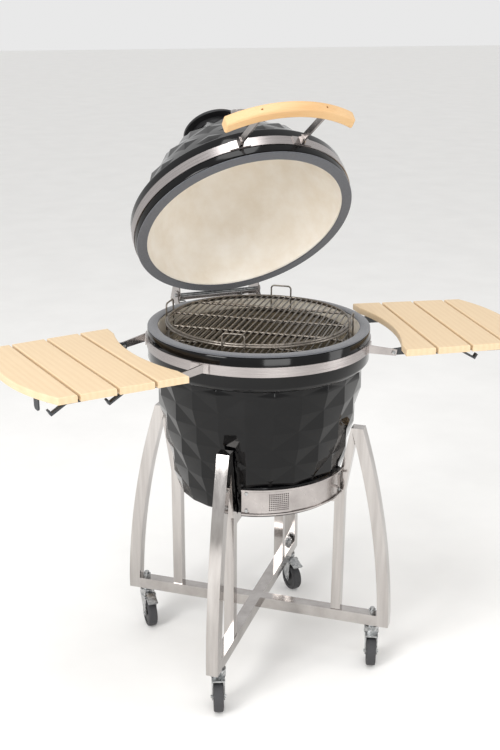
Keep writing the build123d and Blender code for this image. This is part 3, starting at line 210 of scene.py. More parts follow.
@dataclass(frozen=True)
class Timber(Finish):
    """Planed and oiled pale wood: long growth rings crossed by fine pores."""

    ring_mm: float = 9.0

    def pattern(self, tree: bpy.types.NodeTree) -> bpy.types.NodeSocket:
        """Growth rings drawn out along the board, with pores on top."""
        place = self.coordinates(tree)
        wander = add_node(
            tree, "ShaderNodeTexNoise", values={"Scale": 6.0, "Detail": 3.0}, links={"Vector": place}
        )
        rings = add_node(
            tree,
            "ShaderNodeTexWave",
            settings={"wave_type": "BANDS", "bands_direction": "X"},
            values={
                "Scale": 1.0 / (self.ring_mm * MM) / 20,
                "Distortion": 9.0,
                "Detail": 4.0,
                "Detail Scale": 0.7,
            },
            links={"Vector": place, "Phase Offset": wander.outputs["Fac"]},
        )
        pores = add_node(
            tree,
            "ShaderNodeTexNoise",
            values={"Scale": 340.0, "Detail": 6.0, "Roughness": 0.7},
            links={"Vector": place},
        )
        both = add_node(
            tree,
            "ShaderNodeMix",
            values={0: 0.75},
            links={2: rings.outputs["Fac"], 3: pores.outputs["Fac"]},
        )
        return both.outputs[0]


@dataclass(frozen=True)
class Spangle(Finish):
    """Zinc-plated pressed steel: dull crystals of slightly different greys."""

    def pattern(self, tree: bpy.types.NodeTree) -> bpy.types.NodeSocket:
        """Crystal cells."""
        cells = add_node(
            tree, "ShaderNodeTexVoronoi", values={"Scale": 1.0}, links={"Vector": self.coordinates(tree)}
        )
        grey = add_node(tree, "ShaderNodeSeparateColor", links={"Color": cells.outputs["Color"]})
        return grey.outputs["Red"]


# Stoneware fired with a thick black glaze: wet-looking, with a slow orange-peel wave.
GLAZE = Finish(
    "black_fired_glaze", "020203", "050506", (0.06, 0.13), grain_mm=22.0, relief_mm=0.1, specular=0.28
)
# Unglazed refractory: chalky cream with a fine grit and faint kiln clouds.
CREAM = Finish("cream_refractory", "e9dfcf", "f6f1e8", (0.7, 0.85), grain_mm=70.0, relief_mm=0.3, detail=9.0)
# The same clay where the fire is: matt, stained grey-brown by soot, and darkened further as painted shade of
# the deep inside of the bowl.
SOOT_AND_SHADE_FIRECLAY = Finish(
    "fireclay_soot_and_painted_shade", "4d453a", "a39680", (0.8, 0.95), grain_mm=5.0, relief_mm=0.25, detail=8.0
)
# Pressed felt rope: matt grey with short fibres that catch the light.
FELT = Finish(
    "pressed_grey_felt", "3c3e43", "5d5f65", (0.85, 1.0), grain_mm=1.6, relief_mm=0.35, sheen=0.4, detail=9.0
)
# Stainless strip brushed along its length: highlights drawn out round the belt.
STRIP = Finish(
    "brushed_stainless_strip", "9a9493", "b9b3b1", (0.24, 0.34),
    stretch=Way.ROUND.value, metallic=1.0, relief_mm=0.003,
)
# The same strip, its brushing tilted with the open lid.
LID_STRIP = Finish(
    "brushed_stainless_lid_strip", "9a9493", "b9b3b1", (0.24, 0.34),
    stretch=Way.ROUND.value, tilt=(48.0, 0.0, 0.0), metallic=1.0, relief_mm=0.003,
)
# Pressed stainless sheet: satin, with slow dents from the press.
SHEET = Finish(
    "pressed_stainless_sheet", "a39d9b", "c0bab7", (0.2, 0.3), grain_mm=50.0, metallic=1.0, relief_mm=0.002
)
# Drawn and polished stainless tube: bright, with faint ripples along it.
TUBE = Finish(
    "polished_stainless_tube", "a8a3a0", "c2bebb", (0.08, 0.16),
    stretch=Way.UPRIGHT.value, metallic=1.0, relief_mm=0.01,
)
# The same tube laid level, with a broad ripple.
CROSS_TUBE = Finish(
    "polished_stainless_cross", "a8a3a0", "c2bebb", (0.08, 0.16), grain_mm=60.0, metallic=1.0, relief_mm=0.002
)
# Drawn wire after a few firings: steel dulled to brown-grey.
WIRE = Finish(
    "drawn_stainless_wire", "5d5852", "958e86", (0.26, 0.42), grain_mm=6.0, metallic=1.0, relief_mm=0.01
)
# Zinc-plated spring wire: pale and softly bright.
SPRING_WIRE = Finish(
    "zinc_spring_wire", "8d8d8c", "bdbdbb", (0.25, 0.4), grain_mm=2.0, metallic=1.0, relief_mm=0.01
)
# Sand-cast iron under black heat-proof paint: grainy and half matt.
IRON = Finish(
    "sand_cast_iron", "151516", "2c2c2e", (0.38, 0.6), grain_mm=1.8, relief_mm=0.22, metallic=0.3, detail=8.0
)
# Steel under baked powder: dark grey with a fine even stipple.
POWDER = Finish(
    "grey_powder_coat", "2a2c2f", "3c3f43", (0.4, 0.55), grain_mm=1.4, relief_mm=0.06, metallic=0.2
)
# Zinc-plated pressings: crystals of slightly different greys, drawn larger than real so that they show.
ZINC = Spangle(
    "zinc_plated_press", "8b8d8e", "c2c3c3", (0.26, 0.44),
    grain_mm=6.0, relief_mm=0.01, metallic=1.0, contrast=(0.0, 1.0),
)
# Moulded rubber tread: dark, matt and faintly grainy.
TREAD = Finish("grey_rubber_tread", "2b2b2d", "434345", (0.6, 0.8), grain_mm=1.5, relief_mm=0.15)
# Moulded nylon: black with a fine spark texture.
MOULDED = Finish("black_moulded_nylon", "0e0e10", "1c1c1f", (0.35, 0.5), grain_mm=1.2, relief_mm=0.04)
# Fired white enamel: smooth and clean.
ENAMEL = Finish("white_dial_enamel", "e8e6e0", "f4f2ec", (0.25, 0.3), grain_mm=20.0, relief_mm=0.0)
# Printed black: flat and slightly dull.
MARK = Finish("black_dial_mark", "0c0c0c", "141414", (0.4, 0.5), grain_mm=4.0, relief_mm=0.0)
# Red lacquer on the needle: thin and glossy.
NEEDLE = Finish("red_dial_needle", "9a1512", "b51d18", (0.3, 0.4), grain_mm=4.0, relief_mm=0.0)
# Studio paper: pale and matt.
PAPER_FLOOR = Finish("pale_studio_floor", "f1f0ee", "f6f5f3", (0.7, 0.8), grain_mm=300.0, relief_mm=0.0)


def board(turn: float, name: str) -> Timber:
    """Pale oiled hardwood with its grain at an angle about the upright axis.

    Args:
        turn: Degrees that bring the board's length onto y.
        name: Name of the finish.
    Returns:
        The finish.
    """
    return Timber(
        name, "d0b48e", "e0caa9", (0.45, 0.6), stretch=Way.BOARD.value, tilt=(0.0, 0.0, turn),
        relief_mm=0.12, contrast=(0.0, 1.0), ring_mm=2.4,
    )


# Planed and oiled beech: pale, with fine rings along each board.
LEFT_BOARD = board(-9.4, "oiled_beech_left")
RIGHT_BOARD = board(9.4, "oiled_beech_right")
# Oiled beech with its grain along the grip: a shade warmer than the boards.
GRIP_WOOD = Timber(
    "oiled_beech_grip", "c99d69", "dcb98a", (0.42, 0.55), stretch=Way.GRIP.value, relief_mm=0.1,
    contrast=(0.18, 0.82), ring_mm=2.4,
)


class Palette:
    """Builds each finish once and dresses nodes and pieces with it."""

    def __init__(self) -> None:
        """Start with no materials made."""
        self.made: dict[str, bpy.types.Material] = {}

    def material(self, finish: Finish) -> bpy.types.Material:
        """The material of a finish, made on first use."""
        if finish.name not in self.made:
            self.made[finish.name] = finish.build()
        return self.made[finish.name]

    def dress(self, node: str, finish: Finish) -> None:
        """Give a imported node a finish.

        Args:
            node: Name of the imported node.
            finish: The finish it takes.
        """
        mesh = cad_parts[node].data
        mesh.materials.clear()
        mesh.materials.append(self.material(finish))
        LOG.info("dressed %s with %s", node, finish.name)


# ------------------------------------------------------------------ making meshes
def clear_selection() -> None:
    """Leave edit mode and deselect everything."""
    if bpy.context.object and bpy.context.object.mode != "OBJECT":
        bpy.ops.object.mode_set(mode="OBJECT")
    bpy.ops.object.select_all(action="DESELECT")


def select_only(piece: bpy.types.Object) -> None:
    """Make one piece the only selected and active one."""
    clear_selection()
    piece.select_set(True)
    bpy.context.view_layer.objects.active = piece


def apply_modifier(piece: bpy.types.Object, kind: str, settings: dict[str, object]) -> None:
    """Add a modifier and apply it.

    Args:
        piece: The piece it shapes.
        kind: The modifier's type.
        settings: Its attributes.
    """
    select_only(piece)
    modifier = piece.modifiers.new(kind.lower(), kind)
    for key, value in settings.items():
        setattr(modifier, key, value)
    bpy.ops.object.modifier_apply(modifier=modifier.name)


def turned(name: str, profile: list[tuple[float, float]], segments: int) -> bpy.types.Object:
    """Turn a profile round the z axis by extruding a ring of vertices from point to point.

    Args:
        name: The piece's name.
        profile: Radius and height of each point in millimetres, closed if the first and last agree.
        segments: Sides of the ring.
    Returns:
        The piece, closed, with its normals outward.
    """
    clear_selection()
    radius, height = profile[0]
    bpy.ops.mesh.primitive_circle_add(
        vertices=segments, radius=radius * MM, fill_type="NOTHING", location=(0, 0, height * MM)
    )
    piece = bpy.context.object
    piece.name = piece.data.name = name
    bpy.ops.object.transform_apply()
    bpy.ops.object.mode_set(mode="EDIT")
    bpy.ops.mesh.select_all(action="SELECT")
    for (r_a, z_a), (r_b, z_b) in zip(profile, profile[1:]):
        bpy.ops.mesh.extrude_edges_move(TRANSFORM_OT_translate={"value": (0, 0, (z_b - z_a) * MM)})
        bpy.ops.transform.resize(value=(r_b / r_a, r_b / r_a, 1), center_override=(0, 0, z_b * MM))
    bpy.ops.mesh.select_all(action="SELECT")
    bpy.ops.mesh.remove_doubles(threshold=MESH_MERGE)
    bpy.ops.mesh.normals_make_consistent(inside=False)
    bpy.ops.object.mode_set(mode="OBJECT")
    bpy.ops.object.shade_smooth_by_angle(angle=math.radians(32))
    return piece


def place(piece: bpy.types.Object, where: Matrix) -> bpy.types.Object:
    """Move a piece into place and bake the move into its mesh.

    Args:
        piece: A piece made at the origin.
        where: Its place in the row frame.
    Returns:
        The same piece.
    """
    select_only(piece)
    piece.matrix_world = where
    bpy.ops.object.transform_apply(location=True, rotation=True, scale=True)
    return piece


def cut(piece: bpy.types.Object, cutter: bpy.types.Object) -> None:
    """Subtract a cutter from a piece."""
    apply_modifier(piece, "BOOLEAN", {"operation": "DIFFERENCE", "object": cutter, "solver": "EXACT"})


def cover(
    piece: bpy.types.Object, finish: bpy.types.Material, body: str, nodes: tuple[str, ...]
) -> None:
    """Finish a piece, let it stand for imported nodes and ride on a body.

    Args:
        piece: The piece.
        finish: Its material.
        body: The body it rides on.
        nodes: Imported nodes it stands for.
    """
    if not piece.data.materials:
        piece.data.materials.append(finish)
    if nodes:
        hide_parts(*nodes)
    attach(piece, body)
    LOG.info("made %s on %s", piece.name, body)


def faceted(
    name: str, rows: list[tuple[float, float, float]], columns: int, phase: float, depth: float, first: int
) -> bpy.types.Object:
    """Make a ring of diamond pyramids: every other corner is pressed in and the quads fold between them.

    Args:
        name: The piece's name.
        rows: Radius, height and height of the pressing centre on the axis for each row, in millimetres.
        columns: Columns round the ring.
        phase: Angle of the first column from the front, in degrees.
        depth: How far the corners are pressed in, in millimetres.
        first: 0 or 1, the parity of the pressed corners in the first row.
    Returns:
        The piece, 8 mm thick.
    """
    clear_selection()
    r_0, z_0, _ = rows[0]
    bpy.ops.mesh.primitive_circle_add(
        vertices=columns, radius=r_0 * MM, fill_type="NOTHING", location=(0, 0, z_0 * MM),
        rotation=(0, 0, math.radians(phase - 90.0)),
    )
    piece = bpy.context.object
    piece.name = piece.data.name = name
    bpy.ops.object.transform_apply()
    bpy.ops.object.mode_set(mode="EDIT")
    bpy.ops.mesh.select_all(action="SELECT")
    for (r_a, z_a, _), (r_b, z_b, _) in zip(rows, rows[1:]):
        bpy.ops.mesh.extrude_edges_move(TRANSFORM_OT_translate={"value": (0, 0, (z_b - z_a) * MM)})
        bpy.ops.transform.resize(value=(r_b / r_a, r_b / r_a, 1), center_override=(0, 0, z_b * MM))
    step = 360.0 / columns
    for index, (radius, height, centre) in enumerate(rows):
        edge = index in (0, len(rows) - 1)
        mesh = bmesh.from_edit_mesh(piece.data)
        mesh.select_mode = {"VERT"}
        for vert in mesh.verts:
            angle = math.degrees(math.atan2(vert.co.y, vert.co.x)) + 90.0
            column = round((angle - phase) / step)
            here = abs(vert.co.z - height * MM) < 1e-4
            vert.select_set(here and (edge or (column + index + first) % 2 == 0))
        mesh.select_flush_mode()
        bmesh.update_edit_mesh(piece.data)
        reach = math.hypot(radius, height - centre)
        scale = (reach - (depth / 2 if edge else depth)) / reach
        bpy.ops.transform.resize(value=(scale, scale, scale), center_override=(0, 0, centre * MM))
    bpy.ops.mesh.select_all(action="SELECT")
    bpy.ops.mesh.normals_make_consistent(inside=False)
    bpy.ops.mesh.quads_convert_to_tris(quad_method="SHORTEST_DIAGONAL")
    bpy.ops.object.mode_set(mode="OBJECT")
    outward = sum(face.normal.dot(face.center.normalized()) for face in piece.data.polygons)
    if outward < 0:
        piece.data.flip_normals()
    apply_modifier(
        piece, "SOLIDIFY", {"thickness": FACET_WALL * MM, "offset": -1.0, "use_even_offset": True}
    )
    apply_modifier(
        piece, "BEVEL",
        {"width": FACET_ROUND * MM, "segments": 2, "limit_method": "ANGLE", "angle_limit": math.radians(4)},
    )
    bpy.ops.object.shade_smooth_by_angle(angle=math.radians(30))
    return piece


# ------------------------------------------------------------------ ceramic body
@dataclass
class BowlShell:
    """The glazed bowl: faceted skin, smooth belt and pad, cream inside."""

    bottom_z: float = 470.0
    top_z: float = 800.0
    bottom_r: float = 203.0
    top_r: float = 262.0
    bulge: float = 5.0
    belt_r: float = 270.0
    belt_z: float = 811.0
    rim_z: float = 883.6
    wall: float = 26.0
    floor_z: float = 500.0
    facet_step: float = 45.2
    facet_top_z: float = 780.9
    facet_phase: float = 0.9
    facet_depth: float = 7.0
    columns: int = 24
    window: tuple[float, float, float] = (172.0, 44.0, 510.5)
    window_turn: float = 7.0
    pad_top_z: float = 545.5
    pad_half: float = 39.5
    pad_depth: float = 24.0

    def radius(self, height: float) -> float:
        """Outer radius of the bowl's side at a height."""
        t = (height - self.bottom_z) / (self.top_z - self.bottom_z)
        return self.bottom_r + (self.top_r - self.bottom_r) * t + 4 * self.bulge * t * (1 - t)

    def heights(self, low: float, high: float, count: int) -> list[float]:
        """Evenly spaced heights."""
        return [low + (high - low) * k / (count - 1) for k in range(count)]

    def skin(self) -> bpy.types.Object:
        """The faceted skin under the belt."""
        rows = [(self.radius(self.top_z - 1.0), self.top_z - 1.0, self.top_z - 1.0)]
        height = self.facet_top_z
        while height > self.bottom_z + 10.0:
            rows.append((self.radius(height), height, height))
            height -= self.facet_step
        rows.append((self.radius(self.bottom_z), self.bottom_z, self.bottom_z))
        return faceted("bowl_facets", rows, self.columns, self.facet_phase, self.facet_depth, 1)

    def shell(self) -> bpy.types.Object:
        """The belt, the wall behind the facets, the inside and the floor."""
        back = [(self.radius(z) - 12.0, z) for z in self.heights(self.bottom_z, self.top_z - 6.0, 12)]
        inside = [(self.radius(z) - self.wall, z) for z in self.heights(self.top_z, self.floor_z, 14)]
        r, z = self.belt_r, self.rim_z
        profile = [(SMALL_HOLE, self.bottom_z)] + back
        top_r, top_z, belt_z = self.top_r, self.top_z, self.belt_z
        profile += [(top_r - 4.0, top_z - 2.0), (top_r, top_z), (top_r + 3.5, top_z + 5.0)]
        profile += [(r - 1.2, belt_z - 1.5), (r, belt_z + 1.5)]
        profile += [(r, z - 4.0), (r - 1.0, z - 1.2), (r - 3.5, z)]
        profile += [(r - self.wall + 3.0, z), (r - self.wall, z - 3.0)]
        profile += inside + [(SMALL_HOLE, self.floor_z)]
        return turned("bowl_shell", profile, 144)

    def pad(self) -> bpy.types.Object:
        """The smooth upright pad that the draft frame seats on."""
        r = self.radius(self.pad_top_z)
        low, high = self.bottom_z + 0.1, self.pad_top_z
        back = r - self.pad_depth
        profile = [(back, low), (r - 3.0, low), (r, low + 3.0)]
        profile += [(r, high - 2.5), (r - 2.5, high), (back, high)]
        piece = turned("bowl_pad", profile + [profile[0]], 144)
        select_only(piece)
        bpy.ops.object.mode_set(mode="EDIT")
        for side in (-1, 1):
            angle = math.radians(self.window_turn + side * self.pad_half)
            bpy.ops.mesh.select_all(action="SELECT")
            bpy.ops.mesh.bisect(
                plane_co=(0, 0, 0), plane_no=(side * math.cos(angle), side * math.sin(angle), 0),
                use_fill=True, clear_outer=True,
            )
        bpy.ops.mesh.select_all(action="SELECT")
        bpy.ops.mesh.normals_make_consistent(inside=False)
        bpy.ops.object.mode_set(mode="OBJECT")
        apply_modifier(
            piece, "BEVEL",
            {"width": 2.0 * MM, "segments": 3, "limit_method": "ANGLE", "angle_limit": math.radians(60)},
        )
        return piece

    def cutter(self) -> bpy.types.Object:
        """The rounded block that opens the draft window."""
        wide, tall, middle = self.window
        clear_selection()
        bpy.ops.mesh.primitive_cube_add(size=1.0, location=(0, 0, 0))
        block = bpy.context.object
        block.scale = (wide * MM, 0.3, tall * MM)
        bpy.ops.object.transform_apply(scale=True)
        block.data.name = block.name = "window_block"
        bpy.ops.object.mode_set(mode="EDIT")
        bpy.ops.mesh.select_all(action="DESELECT")
        mesh = bmesh.from_edit_mesh(block.data)
        for edge in mesh.edges:
            a, b = edge.verts
            edge.select_set(abs(a.co.y - b.co.y) > 0.1)
        bmesh.update_edit_mesh(block.data)
        bpy.ops.mesh.bevel(offset=tall / 7 * MM, segments=5)
        bpy.ops.object.mode_set(mode="OBJECT")
        turn = Matrix.Rotation(math.radians(self.window_turn), 4, "Z")
        return place(block, turn @ Matrix.Translation((0, -0.25, middle * MM)))

    def build(self, palette: Palette) -> None:
        """Make and dress the bowl.

        Args:
            palette: Source of the materials.
        """
        pieces = [self.skin(), self.shell(), self.pad()]
        block = self.cutter()
        for piece in pieces:
            cut(piece, block)
        bpy.data.objects.remove(block)
        shell = pieces[1]
        shell.data.materials.append(palette.material(GLAZE))
        shell.data.materials.append(palette.material(CREAM))
        for face in shell.data.polygons:
            z = face.center.z / MM
            r = math.hypot(face.center.x, face.center.y) / MM
            limit = self.radius(z) - 18.0 if z < self.top_z else self.belt_r - self.wall + 2.0
            face.material_index = int(r < limit and z > self.floor_z - 0.5)
        for piece in pieces:
            cover(piece, palette.material(GLAZE), "grill", ("base_bowl",))


@dataclass
class LidShell:
    """The glazed dome: belt, faceted skin, chimney and cream inside, in the open lid's frame."""

    open_angle: float = 48.0
    hinge: tuple[float, float] = (286.0, 896.0)
    shut_z: float = 888.0
    foot_h: float = 72.0
    top_h: float = 282.0
    foot_r: float = 265.0
    belt_r: float = 270.0
    belt_h: float = 68.0
    rim_h: float = 4.0
    wall: float = 26.0
    chimney_r: float = 52.0
    rim_r: float = 62.0
    facet_r: tuple[float, ...] = (264.0, 247.0, 226.0, 199.0, 167.0, 131.0, 95.0, 65.0)
    facet_depth: float = 7.0

    def frame(self) -> Matrix:
        """Place of the open lid: x to the right, y to the hinge, z up the dome."""
        s, c = math.sin(math.radians(self.open_angle)), math.cos(math.radians(self.open_angle))
        y, z = self.hinge
        drop = self.shut_z - z
        origin = Vector((0, y - y * c + drop * s, z + y * s + drop * c)) * MM
        return Matrix(((1, 0, 0, 0), (0, c, s, origin.y), (0, -s, c, origin.z), (0, 0, 0, 1)))

    def height(self, radius: float, inset: float = 0.0) -> float:
        """Height of the dome over a radius.

        Args:
            radius: Distance from the dome's axis in millimetres.
            inset: How far inside the outer face.
        Returns:
            Height above the lid's plane in millimetres.
        """
        return self.top_h - inset - (self.top_h - self.foot_h) * (radius / (self.foot_r - inset)) ** 2

    def skin(self) -> bpy.types.Object:
        """The faceted skin of the dome."""
        subnormal = self.foot_r**2 / (2 * (self.top_h - self.foot_h))
        rows = [(r, self.height(r), self.height(r) - subnormal) for r in self.facet_r]
        return faceted("lid_facets", rows, 24, 0.9, self.facet_depth, 0)

    def shell(self) -> bpy.types.Object:
        """The belt, the chimney, the inside and the wall behind the facets."""
        outer = [self.foot_r - 9.0 - (self.foot_r - self.rim_r - 14.0) * k / 11 for k in range(12)]
        back = [(r, self.height(r) - 10.0) for r in outer]
        inner = [self.chimney_r + (self.foot_r - self.wall - self.chimney_r) * k / 14 for k in range(15)]
        hollow = [(r, self.height(r, self.wall)) for r in inner]
        r, h, w = self.belt_r, self.rim_h, self.wall
        top = self.height(self.rim_r)
        profile = [(r - w, h + 3.0), (r - w + 3.0, h), (r - 3.5, h), (r - 1.0, h + 1.2), (r, h + 4.0)]
        profile += [(r, self.belt_h - 3.0), (r - 1.0, self.belt_h), (self.foot_r - 1.0, self.foot_h + 1.0)]
        neck = self.rim_r + 4.0
        profile += back + [(neck, top - 6.0), (neck, top - 1.0), (neck - 3.0, top)]
        profile += [(self.chimney_r, top)] + hollow + [profile[0]]
        return turned("lid_shell", profile, 144)

    def build(self, palette: Palette) -> None:
        """Make and dress the dome.

        Args:
            palette: Source of the materials.
        """
        skin, shell = self.skin(), self.shell()
        shell.data.materials.append(palette.material(GLAZE))
        shell.data.materials.append(palette.material(CREAM))
        for face in shell.data.polygons:
            r = math.hypot(face.center.x, face.center.y) / MM
            h = face.center.z / MM
            inside = r < self.belt_r - self.wall + 2.0 and h < self.height(r) - 16.0
            face.material_index = int(inside)
        for piece in (skin, shell):
            place(piece, self.frame())
            cover(piece, palette.material(GLAZE), "lid", ("lid_dome",))


@dataclass
class Gasket:
    """A felt ring with rounded edges."""

    name: str
    node: str
    body: str
    base: float
    inner_r: float = 244.4
    outer_r: float = 269.4
    thick: float = 4.0

    def build(self, palette: Palette, where: Matrix) -> None:
        """Turn the ring and lay it in place.

        Args:
            palette: Source of the materials.
            where: Place of the ring's plane.
        """
        a, b, t = self.inner_r, self.outer_r, self.thick
        profile = [(a + 1.2, 0.0), (a, 1.2), (a, t - 1.6), (a + 0.8, t - 0.5), (a + 2.5, t), (b - 2.5, t)]
        profile += [(b - 0.8, t - 0.5), (b, t - 1.6), (b, 1.2), (b - 1.2, 0.0), (a + 1.2, 0.0)]
        piece = turned(self.name, [(r, z + self.base) for r, z in profile], 144)
        place(piece, where)
        cover(piece, palette.material(FELT), self.body, (self.node,))


@dataclass
class Thermometer:
    """A bimetal dial thermometer on the front of the dome."""

    at: float = 178.0
    lift: float = 2.5
    case_r: float = 29.0
    case_t: float = 13.0
    probe_r: float = 4.5
    probe: float = 60.0
    ticks: int = 25
    sweep: float = 270.0
    marks_r: float = 20.5
    needle_turn: float = 128.0

    def frame(self, lid: LidShell) -> Matrix:
        """Place of the dial's back on the dome.

        Args:
            lid: The dome it stands on.
        Returns:
            Its place, with z out of the dome.
        """
        lean = 2 * (lid.top_h - lid.foot_h) * self.at / lid.foot_r**2
        normal = Vector((0, -lean, 1)).normalized()
        across = Vector((1, 0, 0))
        up = normal.cross(across)
        spot = Vector((0, -self.at, lid.height(self.at))) * MM + normal * self.lift * MM
        columns = Matrix((across, up, normal)).transposed().to_4x4()
        return lid.frame() @ Matrix.Translation(spot) @ columns

    def bar(self, name: str, size: tuple[float, float, float], at: Matrix) -> bpy.types.Object:
        """A small softened bar, for a mark or the needle.

        Args:
            name: The bar's name.
            size: Its width, length and thickness in millimetres.
            at: Its place.
        Returns:
            The bar.
        """
        clear_selection()
        bpy.ops.mesh.primitive_cube_add(size=1.0)
        piece = bpy.context.object
        piece.name = piece.data.name = name
        piece.scale = tuple(v * MM for v in size)
        bpy.ops.object.transform_apply(scale=True)
        apply_modifier(piece, "BEVEL", {"width": min(size) * 0.3 * MM, "segments": 2})
        return place(piece, at)

    def build(self, palette: Palette, lid: LidShell) -> None:
        """Make the case, dial, marks, needle and probe.

        Args:
            palette: Source of the materials.
            lid: The dome it stands on.
        """
        base = self.frame(lid)
        r, t = self.case_r, self.case_t
        back = [(SMALL_HOLE, 0), (r - 1.5, 0), (r, 1.5)]
        rim = [(r, t - 3.5), (r - 1.0, t - 1.0), (r - 3.0, t), (r - 4.2, t - 0.6), (r - 4.8, t - 3.0)]
        case = turned("gauge_case", back + rim + [(SMALL_HOLE, t - 3.0)], 72)
        cover(place(case, base), palette.material(SHEET), "lid", ("thermometer",))
        disc = [(SMALL_HOLE, t - 3.0), (r - 5.0, t - 3.0), (r - 5.0, t - 2.6), (SMALL_HOLE, t - 2.6)]
        dial = turned("gauge_dial", disc, 64)
        cover(place(dial, base), palette.material(ENAMEL), "lid", ("thermometer",))
        rod = [(SMALL_HOLE, 0.5), (self.probe_r, 0.5), (self.probe_r, 3.0 - self.probe)]
        probe = turned("gauge_probe", rod + [(2.0, -self.probe), (SMALL_HOLE, -self.probe)], 24)
        cover(place(probe, base), palette.material(SHEET), "lid", ("thermometer",))
        for k in range(self.ticks):
            angle = math.radians(self.sweep * (k / (self.ticks - 1) - 0.5))
            long = 3.6 if k % 4 == 0 else 2.0
            out = Matrix.Translation((0, (self.marks_r - long / 2) * MM, (t - 2.5) * MM))
            spin = Matrix.Rotation(-angle, 4, "Z") @ out
            mark = self.bar(f"gauge_mark_{k}", (0.7, long, 0.3), base @ spin)
            cover(mark, palette.material(MARK), "lid", ("thermometer",))
        aim = Matrix.Rotation(math.radians(self.needle_turn), 4, "Z")
        aim = aim @ Matrix.Translation((0, 6.5 * MM, (t - 2.0) * MM))
        needle = self.bar("gauge_needle", (1.4, 19.0, 0.5), base @ aim)
        cover(needle, palette.material(NEEDLE), "lid", ("thermometer",))
        knob = [(SMALL_HOLE, t - 2.6), (2.2, t - 2.6), (2.2, t - 1.6), (1.4, t - 1.1), (SMALL_HOLE, t - 1.1)]
        hub = turned("gauge_hub", knob, 24)
        cover(place(hub, base), palette.material(MARK), "lid", ("thermometer",))


@dataclass
class HingeSprings:
    """Two close-wound springs between the hinge's cross rods."""

    spread: float = 84.0
    low: tuple[float, float] = (322.0, 760.0)
    high: tuple[float, float] = (335.8, 873.6)
    coil_r: float = 9.4
    wire_r: float = 1.6
    turns: int = 20
    rod_r: float = 5.0
    eye_room: float = 6.5

    def coil(self, name: str, x: float) -> bpy.types.Object:
        """Screw a wire ring into a coil and lay it between the rods.

        Args:
            name: The coil's name.
            x: Its place across the hinge in millimetres.
        Returns:
            The coil.
        """
        low = Vector((x, *self.low)) * MM
        high = Vector((x, *self.high)) * MM
        length = (high - low).length - 2 * self.eye_room * MM
        clear_selection()
        bpy.ops.mesh.primitive_circle_add(
            vertices=8, radius=self.wire_r * MM, location=(self.coil_r * MM, 0, 0),
            rotation=(math.radians(90), 0, 0),
        )
        piece = bpy.context.object
        piece.name = piece.data.name = name
        bpy.ops.object.transform_apply()
        apply_modifier(
            piece, "SCREW",
            {"angle": math.tau, "screw_offset": length / self.turns, "iterations": self.turns, "steps": 20,
             "render_steps": 20, "use_merge_vertices": False},
        )
        bpy.ops.object.mode_set(mode="EDIT")
        bpy.ops.mesh.select_all(action="DESELECT")
        bpy.ops.mesh.select_non_manifold()
        bpy.ops.mesh.edge_face_add()
        bpy.ops.mesh.select_all(action="SELECT")
        bpy.ops.mesh.normals_make_consistent(inside=False)
        bpy.ops.object.mode_set(mode="OBJECT")
        bpy.ops.object.shade_smooth_by_angle(angle=math.radians(50))
        turn = (high - low).to_track_quat("Z", "Y").to_matrix().to_4x4()
        start = low + (high - low).normalized() * self.eye_room * MM
        return place(piece, Matrix.Translation(start) @ turn)

    def eye(self, name: str, x: float, at: tuple[float, float]) -> bpy.types.Object:
        """The wire eye that hooks a spring to a rod.

        Args:
            name: The eye's name.
            x: Its place across the hinge in millimetres.
            at: The rod's y and z in millimetres.
        Returns:
            The eye.
        """
        clear_selection()
        bpy.ops.mesh.primitive_torus_add(
            major_radius=(self.rod_r + self.wire_r + 0.2) * MM, minor_radius=self.wire_r * MM,
            major_segments=32, minor_segments=8, rotation=(0, math.radians(90), 0),
            location=Vector((x, *at)) * MM,
        )
        piece = bpy.context.object
        piece.name = piece.data.name = name
        bpy.ops.object.transform_apply()
        bpy.ops.object.shade_smooth_by_angle(angle=math.radians(60))
        return piece

    def build(self, palette: Palette) -> None:
        """Make both springs, with their low eyes on the grill and their high eyes on the lid.

        Args:
            palette: Source of the materials.
        """
        wire = palette.material(SPRING_WIRE)
        for side, x in (("left", -self.spread), ("right", self.spread)):
            coil = self.coil(f"spring_coil_{side}", x)
            coil.data.materials.append(wire)
            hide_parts("hinge_springs")
            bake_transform(coil)
            cover(self.eye(f"spring_eye_low_{side}", x, self.low), wire, "grill", ("hinge_springs",))
            cover(self.eye(f"spring_eye_high_{side}", x, self.high), wire, "lid", ("hinge_springs",))


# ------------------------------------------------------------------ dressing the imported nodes
class Dresser:
    """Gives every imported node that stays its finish."""

    ROLES: dict[str, Finish] = {
        "base_band": STRIP, "lid_band": LID_STRIP, "firebox": SOOT_AND_SHADE_FIRECLAY, "fire_ring": SOOT_AND_SHADE_FIRECLAY,
        "charcoal_grate": IRON, "upper_grate": WIRE, "lower_grate": WIRE, "rack_frame": WIRE,
        "draft_frame": SHEET, "draft_door": SHEET, "draft_screen": SHEET, "draft_screws": ZINC,
        "vent_collar": IRON, "vent_cap": IRON, "vent_disc": IRON, "lid_handle": GRIP_WOOD,
        "handle_posts": SHEET, "handle_clevises": SHEET, "handle_screws": POWDER,
        "hinge_base_bracket": SHEET, "hinge_lid_bracket": SHEET, "hinge_pin": ZINC,
        "hinge_base_bolts": ZINC, "hinge_lid_bolts": ZINC, "left_table_slats": LEFT_BOARD,
        "right_table_slats": RIGHT_BOARD, "left_table_rails": POWDER, "right_table_rails": POWDER,
        "left_table_hooks": POWDER, "right_table_hooks": POWDER, "table_brackets": SHEET,
        "table_pivot_pins": ZINC, "base_cross": CROSS_TUBE, "bowl_rails": CROSS_TUBE, "caster_stems": ZINC,
        "caster_nuts": ZINC,
    }
    FAMILIES: dict[str, Finish] = {
        "leg_": TUBE, "fork_": ZINC, "hub_": MOULDED, "tyre_": TREAD, "pedal_": ZINC,
    }

    def build(self, palette: Palette) -> None:
        """Dress each node by its name or its family.

        Args:
            palette: Source of the materials.
        """
        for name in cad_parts:
            finish = self.ROLES.get(name)
            for start, family in self.FAMILIES.items():
                if name.startswith(start):
                    finish = family
            if finish:
                palette.dress(name, finish)


